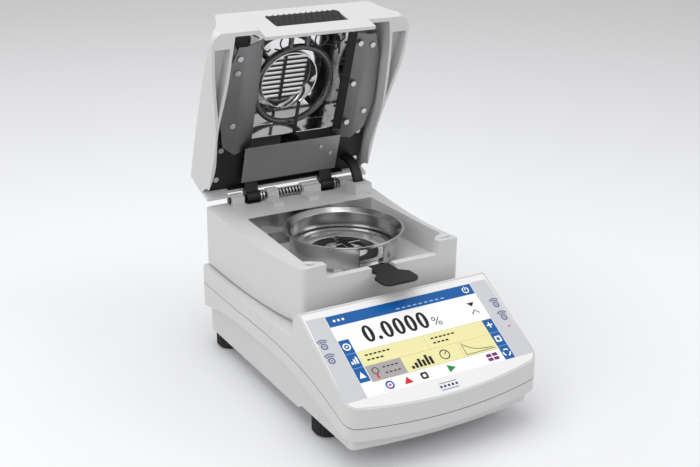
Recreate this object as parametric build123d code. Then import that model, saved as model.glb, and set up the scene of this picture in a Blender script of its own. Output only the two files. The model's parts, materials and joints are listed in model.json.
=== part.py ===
from build123d import *
import math
import os

# Moisture analyzer, in millimetres. +Z is up, the display faces -Y.
# The origin is on the table, under the middle of the object with its lid open.

os.makedirs("parts", exist_ok=True)

# Base: plan outline
BASE_HALF_FRONT = 100.0
BASE_HALF_REAR = 98.0
BASE_FRONT_Y = -163.5
BASE_BOW = 10.0
BASE_REAR_Y = 136.5
BASE_FRONT_CORNER_R = 12.0
BASE_REAR_CORNER_R = 9.0
SHELL_WALL = 3.0

# Base: heights of the parting line, of the lower band's edge and of the shoulder
SEAM_REAR_Z = 69.0
SEAM_FRONT_Z = 44.6
BAND_REAR_Z = 44.0
BAND_MID_Z = 55.6
BAND_FRONT_Z = 32.4
SHOULDER_REAR_Z = 86.8
SHOULDER_MID_Z = 83.4
SHOULDER_FRONT_Z = 88.6
TRAY_INSET = 7.0
TRAY_BOTTOM_Z = 16.0
TRAY_FRONT_BOTTOM_Z = 20.5
TRAY_STEP_Y = -62.0

# Display head
HEAD_TILT = 30.6
HEAD_RIDGE_Y = -75.8
HEAD_RIDGE_Z = 115.3
HEAD_BACK_Y = -66.0
HEAD_CREST = 6.0
GLASS_MARGIN = 1.4
GLASS_THICK = 2.0
GLASS_GAP = 0.3
LEDGE_WIDTH = 8.0
DISPLAY_HALF_W = 80.0
DISPLAY_LENGTH = 96.0
DISPLAY_THICK = 6.0
DISPLAY_TOP_MARGIN = 6.0

# Chamber housing
CHAMBER_FRONT_Y = -56.5
CHAMBER_REAR_Y = 136.0
CHAMBER_HALF_FRONT = 83.5
CHAMBER_HALF_REAR = 91.5
CHAMBER_CORNER_R = 5.0
CHAMBER_TOP_Z = 147.0
CHAMBER_SAG = 7.6
CHAMBER_WALL = 3.0
PLINTH_INSET = 3.5
CAVITY_HALF_REAR = 70.0
CAVITY_HALF_FRONT = 74.5
CAVITY_REAR_Y = 81.5
CAVITY_SIDE_FRONT_Y = -39.0
CAVITY_FRONT_Y = -49.0
MOUTH_HALF = 60.0
LOW_WALL_Z = 133.5
CHAMBER_FLOOR_Z = 121.6
FLOOR_THICK = 3.0
LINER_THICK = 0.8

# Draft shield, a steel bowl that stands on three pads
BOWL_Y = 17.0
BOWL_WALL_R = 51.8
BOWL_RIM_R = 57.9
BOWL_BOTTOM_Z = 125.4
BOWL_RIM_Z = 148.8
BOWL_THICK = 1.0
BOWL_LEDGE = 4.8
BOWL_STEP_R = BOWL_WALL_R - BOWL_LEDGE
BOWL_STEP_H = 3.0
BOWL_HOLE_R = 43.0
WINDOW_LEFT_DEG = -13.0
WINDOW_RIGHT_DEG = 17.0
WINDOW_TOP_Z = 143.5
WINDOW_SILL = 1.4
PAD_R = 5.0

# Pan lifter and pan support
LIFTER_THICK = 3.0
LIFTER_RING_OUT_R = 34.0
LIFTER_RING_IN_R = 24.0
LIFTER_NECK_HALF = 11.5
LIFTER_PADDLE_HALF = 19.0
LIFTER_PADDLE_Y = -90.5
LIFTER_PADDLE_START_Y = -68.0
LIFTER_TOP_Z = 131.5
NOTCH_GAP = 1.0
SPINDLE_R = 3.0
HUB_R = 7.0
SUPPORT_ARM = 17.0
SUPPORT_Z = 131.5
SUPPORT_THICK = 1.2

# Feet
FOOT_R = 14.5
FOOT_INSET = 24.0
FOOT_X = BASE_HALF_FRONT - FOOT_INSET
FOOT_FRONT_Y = -88.0
FOOT_REAR_Y = 116.0
FOOT_GAP = 0.5
FOOT_RIBS = 24
STUD_R = 3.95
STUD_HOLE_R = 4.0
STUD_RISE = 14.0

# Hinge: the axis runs along X
HINGE_Y = 131.0
HINGE_Z = 151.0
OPEN_ANGLE = 72.8
PIN_R = 3.0
PIN_FIT = 0.05
PIN_LEFT_X = -68.0
PIN_RIGHT_X = 76.0
BLOCK_TOP_Z = 157.5
ARM_R = 6.5
ARM_LEFT_X = (-49.0, -35.0)
ARM_RIGHT_X = (37.0, 51.0)
BLOCK_LEFT_X = (-66.0, -53.0)
BLOCK_MIDDLE_X = (-26.0, -14.0)
SADDLE_X = (14.0, 34.0)
TOWER_X = (59.5, 78.5)
TOWER_Y = (94.0, 136.0)
TOWER_TOP_Z = 158.0
HORN_R = 26.0
HORN_THICK = 5.0
HORN_WIDTH = 10.0
HORN_SLOT_GAP = 1.0

# Lid, in its own frame: S runs forward from the hinge axis and H up, with the lid closed
LID_REAR_S = 4.5
LID_FRONT_S = 190.8
LID_LEAN_REAR = 2.5
LID_LEAN_FRONT = 3.6
LID_RIM_H = -1.4
LID_LIP_H = -16.0
LID_LIP_HALF = 58.7
LID_TOP_H = 46.0
LID_TOP_HALF = 91.2
LID_TOP_TAPER = 6.0
LID_RIM_HALF = 91.6
LID_WING = 14.6
REAR_WALL_H = 6.2
LID_WALL = 2.5
LID_EDGE_R = 5.5
LID_FRONT_CORNER_R = 14.0
GRILLE_HALF = 39.0
GRILLE_H = (1.5, 27.0)
GRILLE_DEPTH = 2.0
GRILLE_RIBS = 13
VENT_ROWS = 10
VENT_PITCH = 5.4
VENT_SLOT = 3.3
VENT_X = (1.6, 25.0)
OPENING_S = 113.0
OPENING_R = 30.0
COLLAR_WALL = 1.2
REFLECTOR_HALF = 58.0
REFLECTOR_S = (60.0, 178.0)
REFLECTOR_H = (15.0, 36.0)
SHEET = 1.2
HEATER_R = 42.0
HEATER_TUBE_R = 3.2
HEATER_H = 22.0
SIDE_PLATE_H = 3.0
SIDE_PLATE_BEND_X = 66.0
SIDE_PLATE_LEFT_X = 43.0
SIDE_PLATE_RIGHT_X = 48.0
SIDE_PLATE_SLOPE = 25.0
LOWER_PLATE_S = (17.0, 57.5)
LOWER_PLATE_HALF = 54.0
FRAME_H = (9.5, 12.5)
FRAME_S = (8.5, 60.0)
FRAME_GAP = 5.2
FRAME_HALF = LID_TOP_HALF - FRAME_GAP
SENSOR_H = 12.6
SCREW_R = 2.0
SCREW_HEAD_R = 3.0
SCREW_HEAD_H = 1.6

# Rear panel
INLET_X = -62.0
INLET_HALF_W = 14.0
INLET_HALF_H = 9.5
INLET_DEPTH = 22.0
INLET_Z = 57.0
ROCKER_X = -34.0
ROCKER_HALF_W = 6.0
ROCKER_HALF_H = 9.0
ROCKER_GAP = 0.5
ROCKER_TILT = 7.0
PORT_DEPTH = 16.0

TILT_RAD = math.radians(HEAD_TILT)
HEAD_SLOPE = math.tan(TILT_RAD)


# Simple forms

def block(x0, x1, y0, y1, z0, z1):
    """A box between two corners."""
    centre = Pos((x0 + x1) / 2, (y0 + y1) / 2, (z0 + z1) / 2)
    return centre * Box(x1 - x0, y1 - y0, z1 - z0)


def post(radius, x, y, z0, z1):
    """An upright cylinder."""
    return Pos(x, y, (z0 + z1) / 2) * Cylinder(radius, z1 - z0)


def rod_x(radius, x0, x1, y, z):
    """A cylinder along X."""
    return Pos((x0 + x1) / 2, y, z) * Rot(0, 90, 0) * Cylinder(radius, x1 - x0)


def side_form(edges, half_width):
    """An outline drawn in Y and Z, carried across the object."""
    face = Plane.YZ.offset(-half_width) * make_face(edges)
    return extrude(face, amount=2 * half_width)


def side_polygon(points, x0, x1):
    """A polygon drawn in Y and Z, carried from x0 to x1."""
    face = Plane.YZ.offset(x0) * make_face(Polyline(*points, close=True))
    return extrude(face, amount=x1 - x0)


def upright(face, z0, z1):
    """A plan outline carried up from z0 to z1."""
    return extrude(Pos(0, 0, z0) * face, amount=z1 - z0)


def lid_block(x0, x1, s0, s1, h0, h1):
    """A box in the closed lid's frame."""
    return block(x0, x1, HINGE_Y - s1, HINGE_Y - s0, HINGE_Z + h0, HINGE_Z + h1)


def lid_post(radius, x, s, h0, h1):
    """An upright cylinder in the closed lid's frame."""
    return post(radius, x, HINGE_Y - s, HINGE_Z + h0, HINGE_Z + h1)


def opened(shape):
    """A lid piece turned from closed to its open rest."""
    axis = Axis((0, HINGE_Y, HINGE_Z), (1, 0, 0))
    return shape.rotate(axis, -OPEN_ANGLE)


def head_z(y, drop=0.0):
    """Height of the display plane at y, sunk by drop square to the plane."""
    return HEAD_RIDGE_Z - HEAD_SLOPE * (HEAD_RIDGE_Y - y) - drop / math.cos(TILT_RAD)


# Plan outlines

def base_plan(inset=0.0):
    """The bowed outline of the base, seen from above."""
    front = ThreePointArc(
        (-BASE_HALF_FRONT, BASE_FRONT_Y),
        (0, BASE_FRONT_Y - BASE_BOW),
        (BASE_HALF_FRONT, BASE_FRONT_Y),
    )
    rest = Polyline(
        (BASE_HALF_FRONT, BASE_FRONT_Y),
        (BASE_HALF_REAR, BASE_REAR_Y),
        (-BASE_HALF_REAR, BASE_REAR_Y),
        (-BASE_HALF_FRONT, BASE_FRONT_Y),
    )
    face = make_face(front + rest)
    corners = face.vertices().sort_by(Axis.Y)
    face = fillet(corners[:2], BASE_FRONT_CORNER_R)
    rear = face.vertices().sort_by(Axis.Y)[-2:]
    face = fillet(rear, BASE_REAR_CORNER_R)
    if inset:
        face = offset(face, amount=-inset)
    return face


def chamber_plan(inset=0.0):
    """The tapered outline of the chamber housing."""
    taper = (CHAMBER_HALF_REAR - CHAMBER_HALF_FRONT) / (CHAMBER_REAR_Y - CHAMBER_FRONT_Y)
    rear = CHAMBER_REAR_Y - inset
    front = CHAMBER_FRONT_Y + inset
    half_rear = CHAMBER_HALF_REAR - inset - taper * inset
    half_front = CHAMBER_HALF_FRONT - inset + taper * inset
    face = make_face(Polyline(
        (-half_front, front), (half_front, front),
        (half_rear, rear), (-half_rear, rear), close=True,
    ))
    return fillet(face.vertices(), max(CHAMBER_CORNER_R - inset, 1.0))


# Side curves of the base, as points in Y and Z from rear to front

BEYOND = 12.0


def seam_points():
    """The parting line: level behind, falling to the front."""
    return [
        (BASE_REAR_Y + BEYOND, SEAM_REAR_Z),
        (60, SEAM_REAR_Z - 0.4),
        (-38, SEAM_REAR_Z + 0.2),
        (-78, SEAM_REAR_Z - 3.2),
        (-113, SEAM_REAR_Z - 9.2),
        (BASE_FRONT_Y + 20, SEAM_FRONT_Z + 6.6),
        (BASE_FRONT_Y, SEAM_FRONT_Z),
        (BASE_FRONT_Y - BASE_BOW - BEYOND, SEAM_FRONT_Z - 9.5),
    ]


def band_points():
    """The lower band's edge: an arch that ends at the front."""
    return [
        (BASE_REAR_Y + BEYOND, BAND_REAR_Z - 2.6),
        (116, BAND_REAR_Z + 2.6),
        (72, BAND_MID_Z - 1.8),
        (20, BAND_MID_Z),
        (-36, BAND_MID_Z),
        (-76, BAND_MID_Z - 4.4),
        (-112, BAND_MID_Z - 11.5),
        (BASE_FRONT_Y + 20, BAND_FRONT_Z + 4.6),
        (BASE_FRONT_Y, BAND_FRONT_Z),
        (BASE_FRONT_Y - BASE_BOW - BEYOND, BAND_FRONT_Z - 8.5),
    ]


def shoulder_points(drop=0.0):
    """The base's top beside the chamber, a shallow hollow."""
    return [
        (BASE_REAR_Y + BEYOND, SHOULDER_REAR_Z - drop),
        (70, SHOULDER_MID_Z - drop),
        (4, SHOULDER_MID_Z + 1.0 - drop),
        (HEAD_BACK_Y + 5.0, SHOULDER_FRONT_Z - drop),
    ]


def between(top, bottom, half_width=130.0):
    """The space between two side curves, right across the object."""
    outline = Spline(*top)
    outline += Line(top[-1], bottom[-1])
    outline += Spline(*bottom)
    outline += Line(bottom[0], top[0])
    return side_form(outline, half_width)


def head_side(drop=0.0):
    """The upper shell's side outline, down to the parting line or, inside, past it."""
    shoulder = shoulder_points(drop)
    ridge = (HEAD_RIDGE_Y - drop * 0.6, head_z(HEAD_RIDGE_Y - drop * 0.6, drop))
    crest = (HEAD_BACK_Y - drop, HEAD_RIDGE_Z - HEAD_CREST - drop)
    front_y = BASE_FRONT_Y - BASE_BOW - BEYOND
    front = (front_y, head_z(front_y, drop))
    outline = Spline(*shoulder)
    outline += Polyline(
        shoulder[-1],
        (HEAD_BACK_Y - drop, SHOULDER_FRONT_Z + 5.0 - drop),
        crest, ridge, front,
    )
    if drop:
        floor = 10.0
        outline += Polyline(front, (front[0], floor), (shoulder[0][0], floor), shoulder[0])
    else:
        seam = seam_points()
        outline += Line(front, seam[-1])
        outline += Spline(*seam)
        outline += Line(seam[0], shoulder[0])
    return side_form(outline, 130.0)


# Base pieces

def glass_face(margin):
    """The glass outline in plan, from the ridge to the bowed front."""
    plan = base_plan(margin)
    cut = block(-150, 150, HEAD_RIDGE_Y - margin, 250, -1, 1)
    return (upright(plan, -0.5, 0.5) - cut).faces().sort_by(Axis.Z)[-1]


def glass_slab(margin, top_drop, bottom_drop):
    """A slab under the display plane with the glass outline."""
    y0, y1 = -200.0, HEAD_RIDGE_Y - margin
    slab = side_polygon(
        [(y0, head_z(y0, top_drop)), (y1, head_z(y1, top_drop)),
         (y1, head_z(y1, bottom_drop)), (y0, head_z(y0, bottom_drop))],
        -130, 130,
    )
    return slab & upright(base_plan(margin), 0, 200)


def make_upper_shell():
    """Shoulders and display head in one moulding, open below."""
    shell = head_side() & upright(base_plan(), 0, 200)
    shell -= head_side(SHELL_WALL) & upright(base_plan(SHELL_WALL), 0, 200)
    shell -= glass_slab(GLASS_MARGIN, -5.0, GLASS_THICK)
    shell += glass_slab(SHELL_WALL, GLASS_THICK, SHELL_WALL + GLASS_THICK)
    window = display_box(GLASS_GAP)
    shell -= window
    well = chamber_plan(PLINTH_INSET + CHAMBER_WALL)
    shell -= upright(well, SHOULDER_MID_Z - 20, 200) - block(-150, 150, -300, CHAMBER_FRONT_Y + 8, 0, 300)
    return shell


def display_box(gap=0.0):
    """The display module's space under the glass."""
    y1 = HEAD_RIDGE_Y - DISPLAY_TOP_MARGIN + gap
    y0 = y1 - DISPLAY_LENGTH * math.cos(TILT_RAD) - 2 * gap
    top = GLASS_THICK if not gap else GLASS_THICK - 0.5
    deep = GLASS_THICK + DISPLAY_THICK + (6.0 if gap else 0.0)
    half = DISPLAY_HALF_W + gap
    return side_polygon(
        [(y0, head_z(y0, top)), (y1, head_z(y1, top)),
         (y1, head_z(y1, deep)), (y0, head_z(y0, deep))],
        -half, half,
    )


def make_touch_glass():
    """The touch panel's glass, flush in the head."""
    return glass_slab(GLASS_MARGIN + GLASS_GAP, 0.0, GLASS_THICK)


def tray_side(rise=0.0, top_z=SEAM_REAR_Z):
    """The recessed tray's side outline, with its step under the head."""
    y0 = BASE_FRONT_Y - BASE_BOW - BEYOND
    y1 = BASE_REAR_Y + BEYOND
    return side_polygon(
        [(y0, TRAY_FRONT_BOTTOM_Z + rise), (TRAY_STEP_Y - 8, TRAY_FRONT_BOTTOM_Z + rise),
         (TRAY_STEP_Y, TRAY_BOTTOM_Z + rise), (y1, TRAY_BOTTOM_Z + rise),
         (y1, top_z), (y0, top_z)],
        -130, 130,
    )


def foot_places():
    """Name, x, y and the tray's height over each foot."""
    for side, x in (("left", -FOOT_X), ("right", FOOT_X)):
        yield "front_" + side, x, FOOT_FRONT_Y, TRAY_FRONT_BOTTOM_Z
        yield "rear_" + side, x, FOOT_REAR_Y, TRAY_BOTTOM_Z


def rear_cutouts():
    """Holes in the base's back for the inlet, the rocker and the ports."""
    y0, y1 = BASE_REAR_Y - 12, BASE_REAR_Y + 5
    cuts = block(
        INLET_X - INLET_HALF_W, INLET_X + INLET_HALF_W, y0, y1,
        INLET_Z - INLET_HALF_H, INLET_Z + INLET_HALF_H,
    )
    cuts += block(
        ROCKER_X - ROCKER_HALF_W, ROCKER_X + ROCKER_HALF_W, y0, y1,
        INLET_Z - ROCKER_HALF_H, INLET_Z + ROCKER_HALF_H,
    )
    for _, x, half_w, half_h, _ in port_places():
        cuts += block(x - half_w, x + half_w, y0, y1, INLET_Z - half_h, INLET_Z + half_h)
    return cuts


def port_places():
    """Name, x, half width, half height and wall of each data port."""
    yield "serial_port", 4.0, 15.5, 6.0, 0.0
    yield "usb_port", 34.0, 7.2, 3.8, 1.0
    yield "network_port", 58.0, 8.0, 6.8, 1.4


def make_lower_shell():
    """The lower band and the recessed tray, one moulding open above."""
    under_seam = between(seam_points(), [(y, z - 200) for y, z in seam_points()])
    band = between(seam_points(), band_points()) & upright(base_plan(), 0, 200)
    tray_plan = upright(base_plan(TRAY_INSET), 0, 200)
    tray = tray_side() & tray_plan & under_seam
    shell = band + tray
    inner = tray_side(SHELL_WALL, 200) & upright(base_plan(TRAY_INSET + SHELL_WALL), 0, 200)
    lifted = [(y, z + SHELL_WALL) for y, z in band_points()]
    above = between([(y, z + 100) for y, z in band_points()], lifted)
    inner += above & upright(base_plan(SHELL_WALL), 0, 200)
    shell -= inner
    for _, x, y, tray_z in foot_places():
        boss = post(STUD_R + 5, x, y, tray_z, tray_z + STUD_RISE + 2)
        shell += boss & tray_plan
        shell -= post(STUD_HOLE_R, x, y, tray_z - 5, tray_z + STUD_RISE)
    for x, y in chassis_posts():
        shell += post(5, x, y, TRAY_BOTTOM_Z, CHASSIS_Z)
    for x, y in board_posts():
        shell += post(3.5, x, y, TRAY_FRONT_BOTTOM_Z, BOARD_Z)
    return shell - rear_cutouts()


CHASSIS_Z = 24.0
CHASSIS_THICK = 2.0
CHASSIS_HALF = 64.0
CHASSIS_Y = (-48.0, 108.0)
BOARD_Z = 30.0
BOARD_THICK = 1.6
BOARD_HALF = 66.0
BOARD_Y = (-150.0, -68.0)
CELL_HALF = 14.0
CELL_Y = (4.0, 100.0)
CELL_Z = (38.0, 60.0)
RISER_LENGTH = 24.0


def chassis_posts():
    """Places of the four posts that carry the chassis plate."""
    for x in (-CHASSIS_HALF + 8, CHASSIS_HALF - 8):
        for y in (CHASSIS_Y[0] + 8, CHASSIS_Y[1] - 8):
            yield x, y


def board_posts():
    """Places of the four posts that carry the main board."""
    for x in (-BOARD_HALF + 6, BOARD_HALF - 6):
        for y in (BOARD_Y[0] + 8, BOARD_Y[1] - 6):
            yield x, y


def make_chassis_plate():
    return block(-CHASSIS_HALF, CHASSIS_HALF, *CHASSIS_Y, CHASSIS_Z, CHASSIS_Z + CHASSIS_THICK)


def make_load_cell():
    """A bending beam of aluminium with its thinned middle."""
    beam = block(-CELL_HALF, CELL_HALF, *CELL_Y, *CELL_Z)
    middle = (CELL_Y[0] + CELL_Y[1]) / 2
    height = (CELL_Z[0] + CELL_Z[1]) / 2
    for dy in (-12, 12):
        beam -= rod_x(8, -CELL_HALF - 1, CELL_HALF + 1, middle + dy, height)
    beam -= block(-CELL_HALF - 1, CELL_HALF + 1, middle - 12, middle + 12, height - 3, height + 3)
    return beam


def make_cell_riser():
    return block(-CELL_HALF, CELL_HALF, CELL_Y[1] - RISER_LENGTH, CELL_Y[1],
                 CHASSIS_Z + CHASSIS_THICK, CELL_Z[0])


def make_spindle():
    """The rod that carries the pan support on the beam's free end."""
    rod = post(SPINDLE_R, 0, BOWL_Y, CELL_Z[1], SUPPORT_Z - 4)
    return rod + post(9, 0, BOWL_Y, CELL_Z[1], CELL_Z[1] + 4)


def make_main_board():
    """The main circuit board with its larger components."""
    board = block(-BOARD_HALF, BOARD_HALF, *BOARD_Y, BOARD_Z, BOARD_Z + BOARD_THICK)
    top = BOARD_Z + BOARD_THICK
    for x, y, w, d, h in ((-40, -120, 18, 18, 2.4), (10, -110, 24, 14, 3), (48, -95, 12, 20, 6)):
        board += block(x - w / 2, x + w / 2, y - d / 2, y + d / 2, top, top + h)
    return board


def make_power_supply():
    """The mains supply: a board with a transformer and two capacitors."""
    z = CHASSIS_Z + CHASSIS_THICK
    supply = block(24, 60, 30, 100, z, z + 4)
    supply += block(28, 56, 70, 96, z + 4, z + 26)
    for y in (42, 58):
        supply += post(6, 42, y, z + 4, z + 22)
    return supply


def make_mains_inlet():
    """A three-pin inlet with its flange and socket."""
    body = block(INLET_X - INLET_HALF_W, INLET_X + INLET_HALF_W,
                 BASE_REAR_Y - INLET_DEPTH, BASE_REAR_Y,
                 INLET_Z - INLET_HALF_H, INLET_Z + INLET_HALF_H)
    body += block(INLET_X - INLET_HALF_W - 2, INLET_X + INLET_HALF_W + 2,
                  BASE_REAR_Y, BASE_REAR_Y + 1.5,
                  INLET_Z - INLET_HALF_H - 1.5, INLET_Z + INLET_HALF_H + 1.5)
    body -= block(INLET_X - INLET_HALF_W + 1.5, INLET_X + INLET_HALF_W - 1.5,
                  BASE_REAR_Y - INLET_DEPTH + 4, BASE_REAR_Y + 5,
                  INLET_Z - INLET_HALF_H + 1.5, INLET_Z + INLET_HALF_H - 1.5)
    return body


def make_inlet_pins():
    """Three flat pins that stand in the inlet's floor."""
    floor = BASE_REAR_Y - INLET_DEPTH + 4
    pins = Part()
    for dx, dz in ((-7, -2), (0, 2.5), (7, -2)):
        pins += block(INLET_X + dx - 1, INLET_X + dx + 1, floor, floor + 14,
                      INLET_Z + dz - 2, INLET_Z + dz + 2)
    return pins


def make_rocker_frame():
    """The frame that the power rocker turns in."""
    frame = block(ROCKER_X - ROCKER_HALF_W, ROCKER_X + ROCKER_HALF_W,
                  BASE_REAR_Y - 10, BASE_REAR_Y + 1.2,
                  INLET_Z - ROCKER_HALF_H, INLET_Z + ROCKER_HALF_H)
    inner_w, inner_h = ROCKER_HALF_W - 1.2, ROCKER_HALF_H - 1.2
    frame -= block(ROCKER_X - inner_w, ROCKER_X + inner_w,
                   BASE_REAR_Y - 8.8, BASE_REAR_Y + 5,
                   INLET_Z - inner_h, INLET_Z + inner_h)
    return frame - rod_x(1.05, ROCKER_X - inner_w - 0.8, ROCKER_X + inner_w + 0.8,
                         BASE_REAR_Y - 2, INLET_Z)


def make_power_rocker():
    """The rocker, tilted to its off side, with its two pivot stubs."""
    half_w = ROCKER_HALF_W - 1.2 - ROCKER_GAP
    half_h = ROCKER_HALF_H - 1.2 - ROCKER_GAP - 0.4
    y = BASE_REAR_Y - 2
    rocker = side_polygon(
        [(y - 4, INLET_Z - 3), (y + 3.2, INLET_Z - half_h), (y + 4.2, INLET_Z - half_h),
         (y + 3.4, INLET_Z), (y + 4.2, INLET_Z + half_h), (y + 3.2, INLET_Z + half_h),
         (y - 4, INLET_Z + 3)],
        ROCKER_X - half_w, ROCKER_X + half_w,
    )
    rocker += rod_x(1.0, ROCKER_X - half_w - 1, ROCKER_X + half_w + 1, y, INLET_Z)
    return rocker.rotate(Axis((0, y, INLET_Z), (1, 0, 0)), ROCKER_TILT)


def make_port(x, half_w, half_h, wall):
    """A data port: a metal shell, open to the rear where it has a wall."""
    body = block(x - half_w, x + half_w, BASE_REAR_Y - PORT_DEPTH, BASE_REAR_Y + 0.8,
                 INLET_Z - half_h, INLET_Z + half_h)
    if wall:
        body -= block(x - half_w + wall, x + half_w - wall,
                      BASE_REAR_Y - PORT_DEPTH + 3, BASE_REAR_Y + 3,
                      INLET_Z - half_h + wall, INLET_Z + half_h - wall)
        return body
    for row, count in ((1.4, 5), (-1.4, 4)):
        for k in range(count):
            pin_x = x + (k - (count - 1) / 2) * 2.8
            body += block(pin_x - 0.5, pin_x + 0.5, BASE_REAR_Y + 0.8, BASE_REAR_Y + 3.4,
                          INLET_Z + row - 0.5, INLET_Z + row + 0.5)
    return body


def make_foot(x, y, tray_z):
    """A ribbed rubber foot with a flat sole."""
    top = tray_z - FOOT_GAP
    foot = post(FOOT_R - 2.5, x, y, 0, 2.5) + post(FOOT_R - 0.8, x, y, 2.5, top)
    for k in range(FOOT_RIBS):
        turn = 2 * math.pi * k / FOOT_RIBS
        rx, ry = x + (FOOT_R - 1.0) * math.cos(turn), y + (FOOT_R - 1.0) * math.sin(turn)
        foot += post(1.0, rx, ry, 2.5, top)
    return foot - post(STUD_R, x, y, 4, tray_z)


def make_stud(x, y, tray_z):
    """The threaded stud that carries a foot."""
    return post(STUD_R, x, y, 4, tray_z + STUD_RISE - 2)


# Chamber housing

def chamber_bottom_points():
    """The housing's lower edge, which rises to the display head."""
    z = SHOULDER_MID_Z
    return [
        (CHAMBER_REAR_Y + BEYOND, z + 6.4),
        (85, z + 2.6), (44, z + 1.8), (5, z + 3.2), (-24, z + 5.8),
        (-42, z + 9.8), (CHAMBER_FRONT_Y - BEYOND, z + 22.0),
    ]


def sag_cutter(side):
    """The wedge taken off one side of the top, whose outer edge sags."""
    faces = []
    for x, depth, lift in ((CAVITY_HALF_REAR + 1.5, 0.0, 0.0), (CHAMBER_HALF_REAR + 6, 1.25, 0.0)):
        edge = [
            (CHAMBER_REAR_Y + 4, CHAMBER_TOP_Z + lift),
            (86, CHAMBER_TOP_Z - 3.6 * depth),
            (10, CHAMBER_TOP_Z - CHAMBER_SAG * depth),
            (-32, CHAMBER_TOP_Z - 5.6 * depth),
            (CHAMBER_FRONT_Y - 4, CHAMBER_TOP_Z - 0.4 * depth),
        ]
        top_z = CHAMBER_TOP_Z + 6
        outline = Spline(*edge) + Polyline(
            edge[-1], (edge[-1][0], top_z), (edge[0][0], top_z), edge[0])
        faces.append(Plane.YZ.offset(side * x) * make_face(outline))
    return loft(faces, ruled=True)


def cavity_face():
    """The chamber's inside in plan."""
    return make_face(Polyline(
        (-CAVITY_HALF_REAR, CAVITY_REAR_Y), (CAVITY_HALF_REAR, CAVITY_REAR_Y),
        (CAVITY_HALF_FRONT, CAVITY_SIDE_FRONT_Y), (MOUTH_HALF, CAVITY_FRONT_Y),
        (-MOUTH_HALF, CAVITY_FRONT_Y), (-CAVITY_HALF_FRONT, CAVITY_SIDE_FRONT_Y), close=True,
    ))


def pad_places():
    """Places of the three pads that carry the bowl."""
    for degrees in (30, 150, 235):
        turn = math.radians(degrees)
        radius = (BOWL_WALL_R + BOWL_STEP_R) / 2
        yield radius * math.cos(turn), BOWL_Y + radius * math.sin(turn)


def make_chamber_housing():
    """The housing round the drying chamber, with its deck for the hinge."""
    inset = PLINTH_INSET
    outer = upright(chamber_plan(), SHOULDER_MID_Z - 5, CHAMBER_TOP_Z)
    lower_edge = chamber_bottom_points()
    under = between(lower_edge, [(y, z - 60) for y, z in lower_edge])
    body = outer - under
    shoulder = shoulder_points()
    plinth_bottom = shoulder + [(CHAMBER_FRONT_Y - BEYOND, SHOULDER_FRONT_Z + 0.6)]
    plinth_bottom[-2] = (HEAD_BACK_Y + 30.0, SHOULDER_FRONT_Z - 1.6)
    plinth = upright(chamber_plan(inset), SHOULDER_MID_Z - 5, CHAMBER_TOP_Z - 20)
    body += plinth - head_side()
    for side in (-1, 1):
        body -= sag_cutter(side)
    inner = chamber_plan(inset + CHAMBER_WALL)
    body -= upright(inner, 0, CHAMBER_FLOOR_Z - FLOOR_THICK)
    rear_room = upright(inner, 0, CHAMBER_TOP_Z - CHAMBER_WALL)
    body -= rear_room & block(-100, 100, CAVITY_REAR_Y + CHAMBER_WALL, 200, 0, 200)
    body -= upright(cavity_face(), CHAMBER_FLOOR_Z, CHAMBER_TOP_Z + 5)
    body -= block(-MOUTH_HALF, MOUTH_HALF, CHAMBER_FRONT_Y - 5, CAVITY_FRONT_Y + 2,
                  LOW_WALL_Z, CHAMBER_TOP_Z + 5)
    neck = LIFTER_NECK_HALF + NOTCH_GAP
    body -= block(-neck, neck, CHAMBER_FRONT_Y - 5, CAVITY_FRONT_Y + 2,
                  LIFTER_TOP_Z - LIFTER_THICK - 0.6, LOW_WALL_Z + 5)
    for x, y in pad_places():
        body += post(PAD_R, x, y, CHAMBER_FLOOR_Z - 1, BOWL_BOTTOM_Z)
    body -= post(SPINDLE_R + 3, 0, BOWL_Y, 0, CHAMBER_FLOOR_Z + 1)
    for x0, x1 in (ARM_LEFT_X, ARM_RIGHT_X):
        body -= block(x0 - 1.2, x1 + 1.2, HINGE_Y - ARM_R - 3, CHAMBER_REAR_Y + 5,
                      HINGE_Z - ARM_R - 1.5, CHAMBER_TOP_Z + 5)
    for x in (-24, 16):
        body += block(x - 6, x + 6, 104, 122, CHAMBER_TOP_Z - 0.5, CHAMBER_TOP_Z + 3.2)
    for x0, x1 in ((ARM_LEFT_X[1], ARM_LEFT_X[1] + 7), (BLOCK_MIDDLE_X[1], SADDLE_X[0]),
                   (ARM_RIGHT_X[1], TOWER_X[0] - 1)):
        body -= rod_x(ARM_R + 0.4, x0, x1, HINGE_Y, HINGE_Z)
    half = HORN_WIDTH / 2 + HORN_SLOT_GAP
    horn_x = (TOWER_X[0] + TOWER_X[1]) / 2
    body -= horn_ring(horn_x - half, horn_x + half, HORN_SLOT_GAP)
    body -= block(-SCREEN_SLOT / 2 + 48, SCREEN_SLOT / 2 + 48, -36, -30, 0, CHAMBER_FLOOR_Z + 1)
    body -= head_side() & upright(base_plan(), 0, 200)
    return body


SCREEN_SLOT = 16.0


def horn_ring(x0, x1, gap=0.0):
    """The ring about the hinge axis in which the cable horn moves."""
    outer = rod_x(HORN_R + HORN_THICK / 2 + gap, x0, x1, HINGE_Y, HINGE_Z)
    inner = rod_x(HORN_R - HORN_THICK / 2 - gap, x0 - 1, x1 + 1, HINGE_Y, HINGE_Z)
    return (outer - inner) & block(x0 - 2, x1 + 2, 0, HINGE_Y, 0, HINGE_Z + 8)


def make_chamber_liner():
    """Polished sheet against the chamber's back, with a foot on its floor."""
    back = block(-CAVITY_HALF_REAR + 0.5, CAVITY_HALF_REAR - 0.5,
                 CAVITY_REAR_Y - LINER_THICK, CAVITY_REAR_Y,
                 CHAMBER_FLOOR_Z, CHAMBER_TOP_Z + 1)
    foot = block(-CAVITY_HALF_REAR + 0.5, 30, 66, CAVITY_REAR_Y,
                 CHAMBER_FLOOR_Z, CHAMBER_FLOOR_Z + LINER_THICK)
    return back + foot


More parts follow.
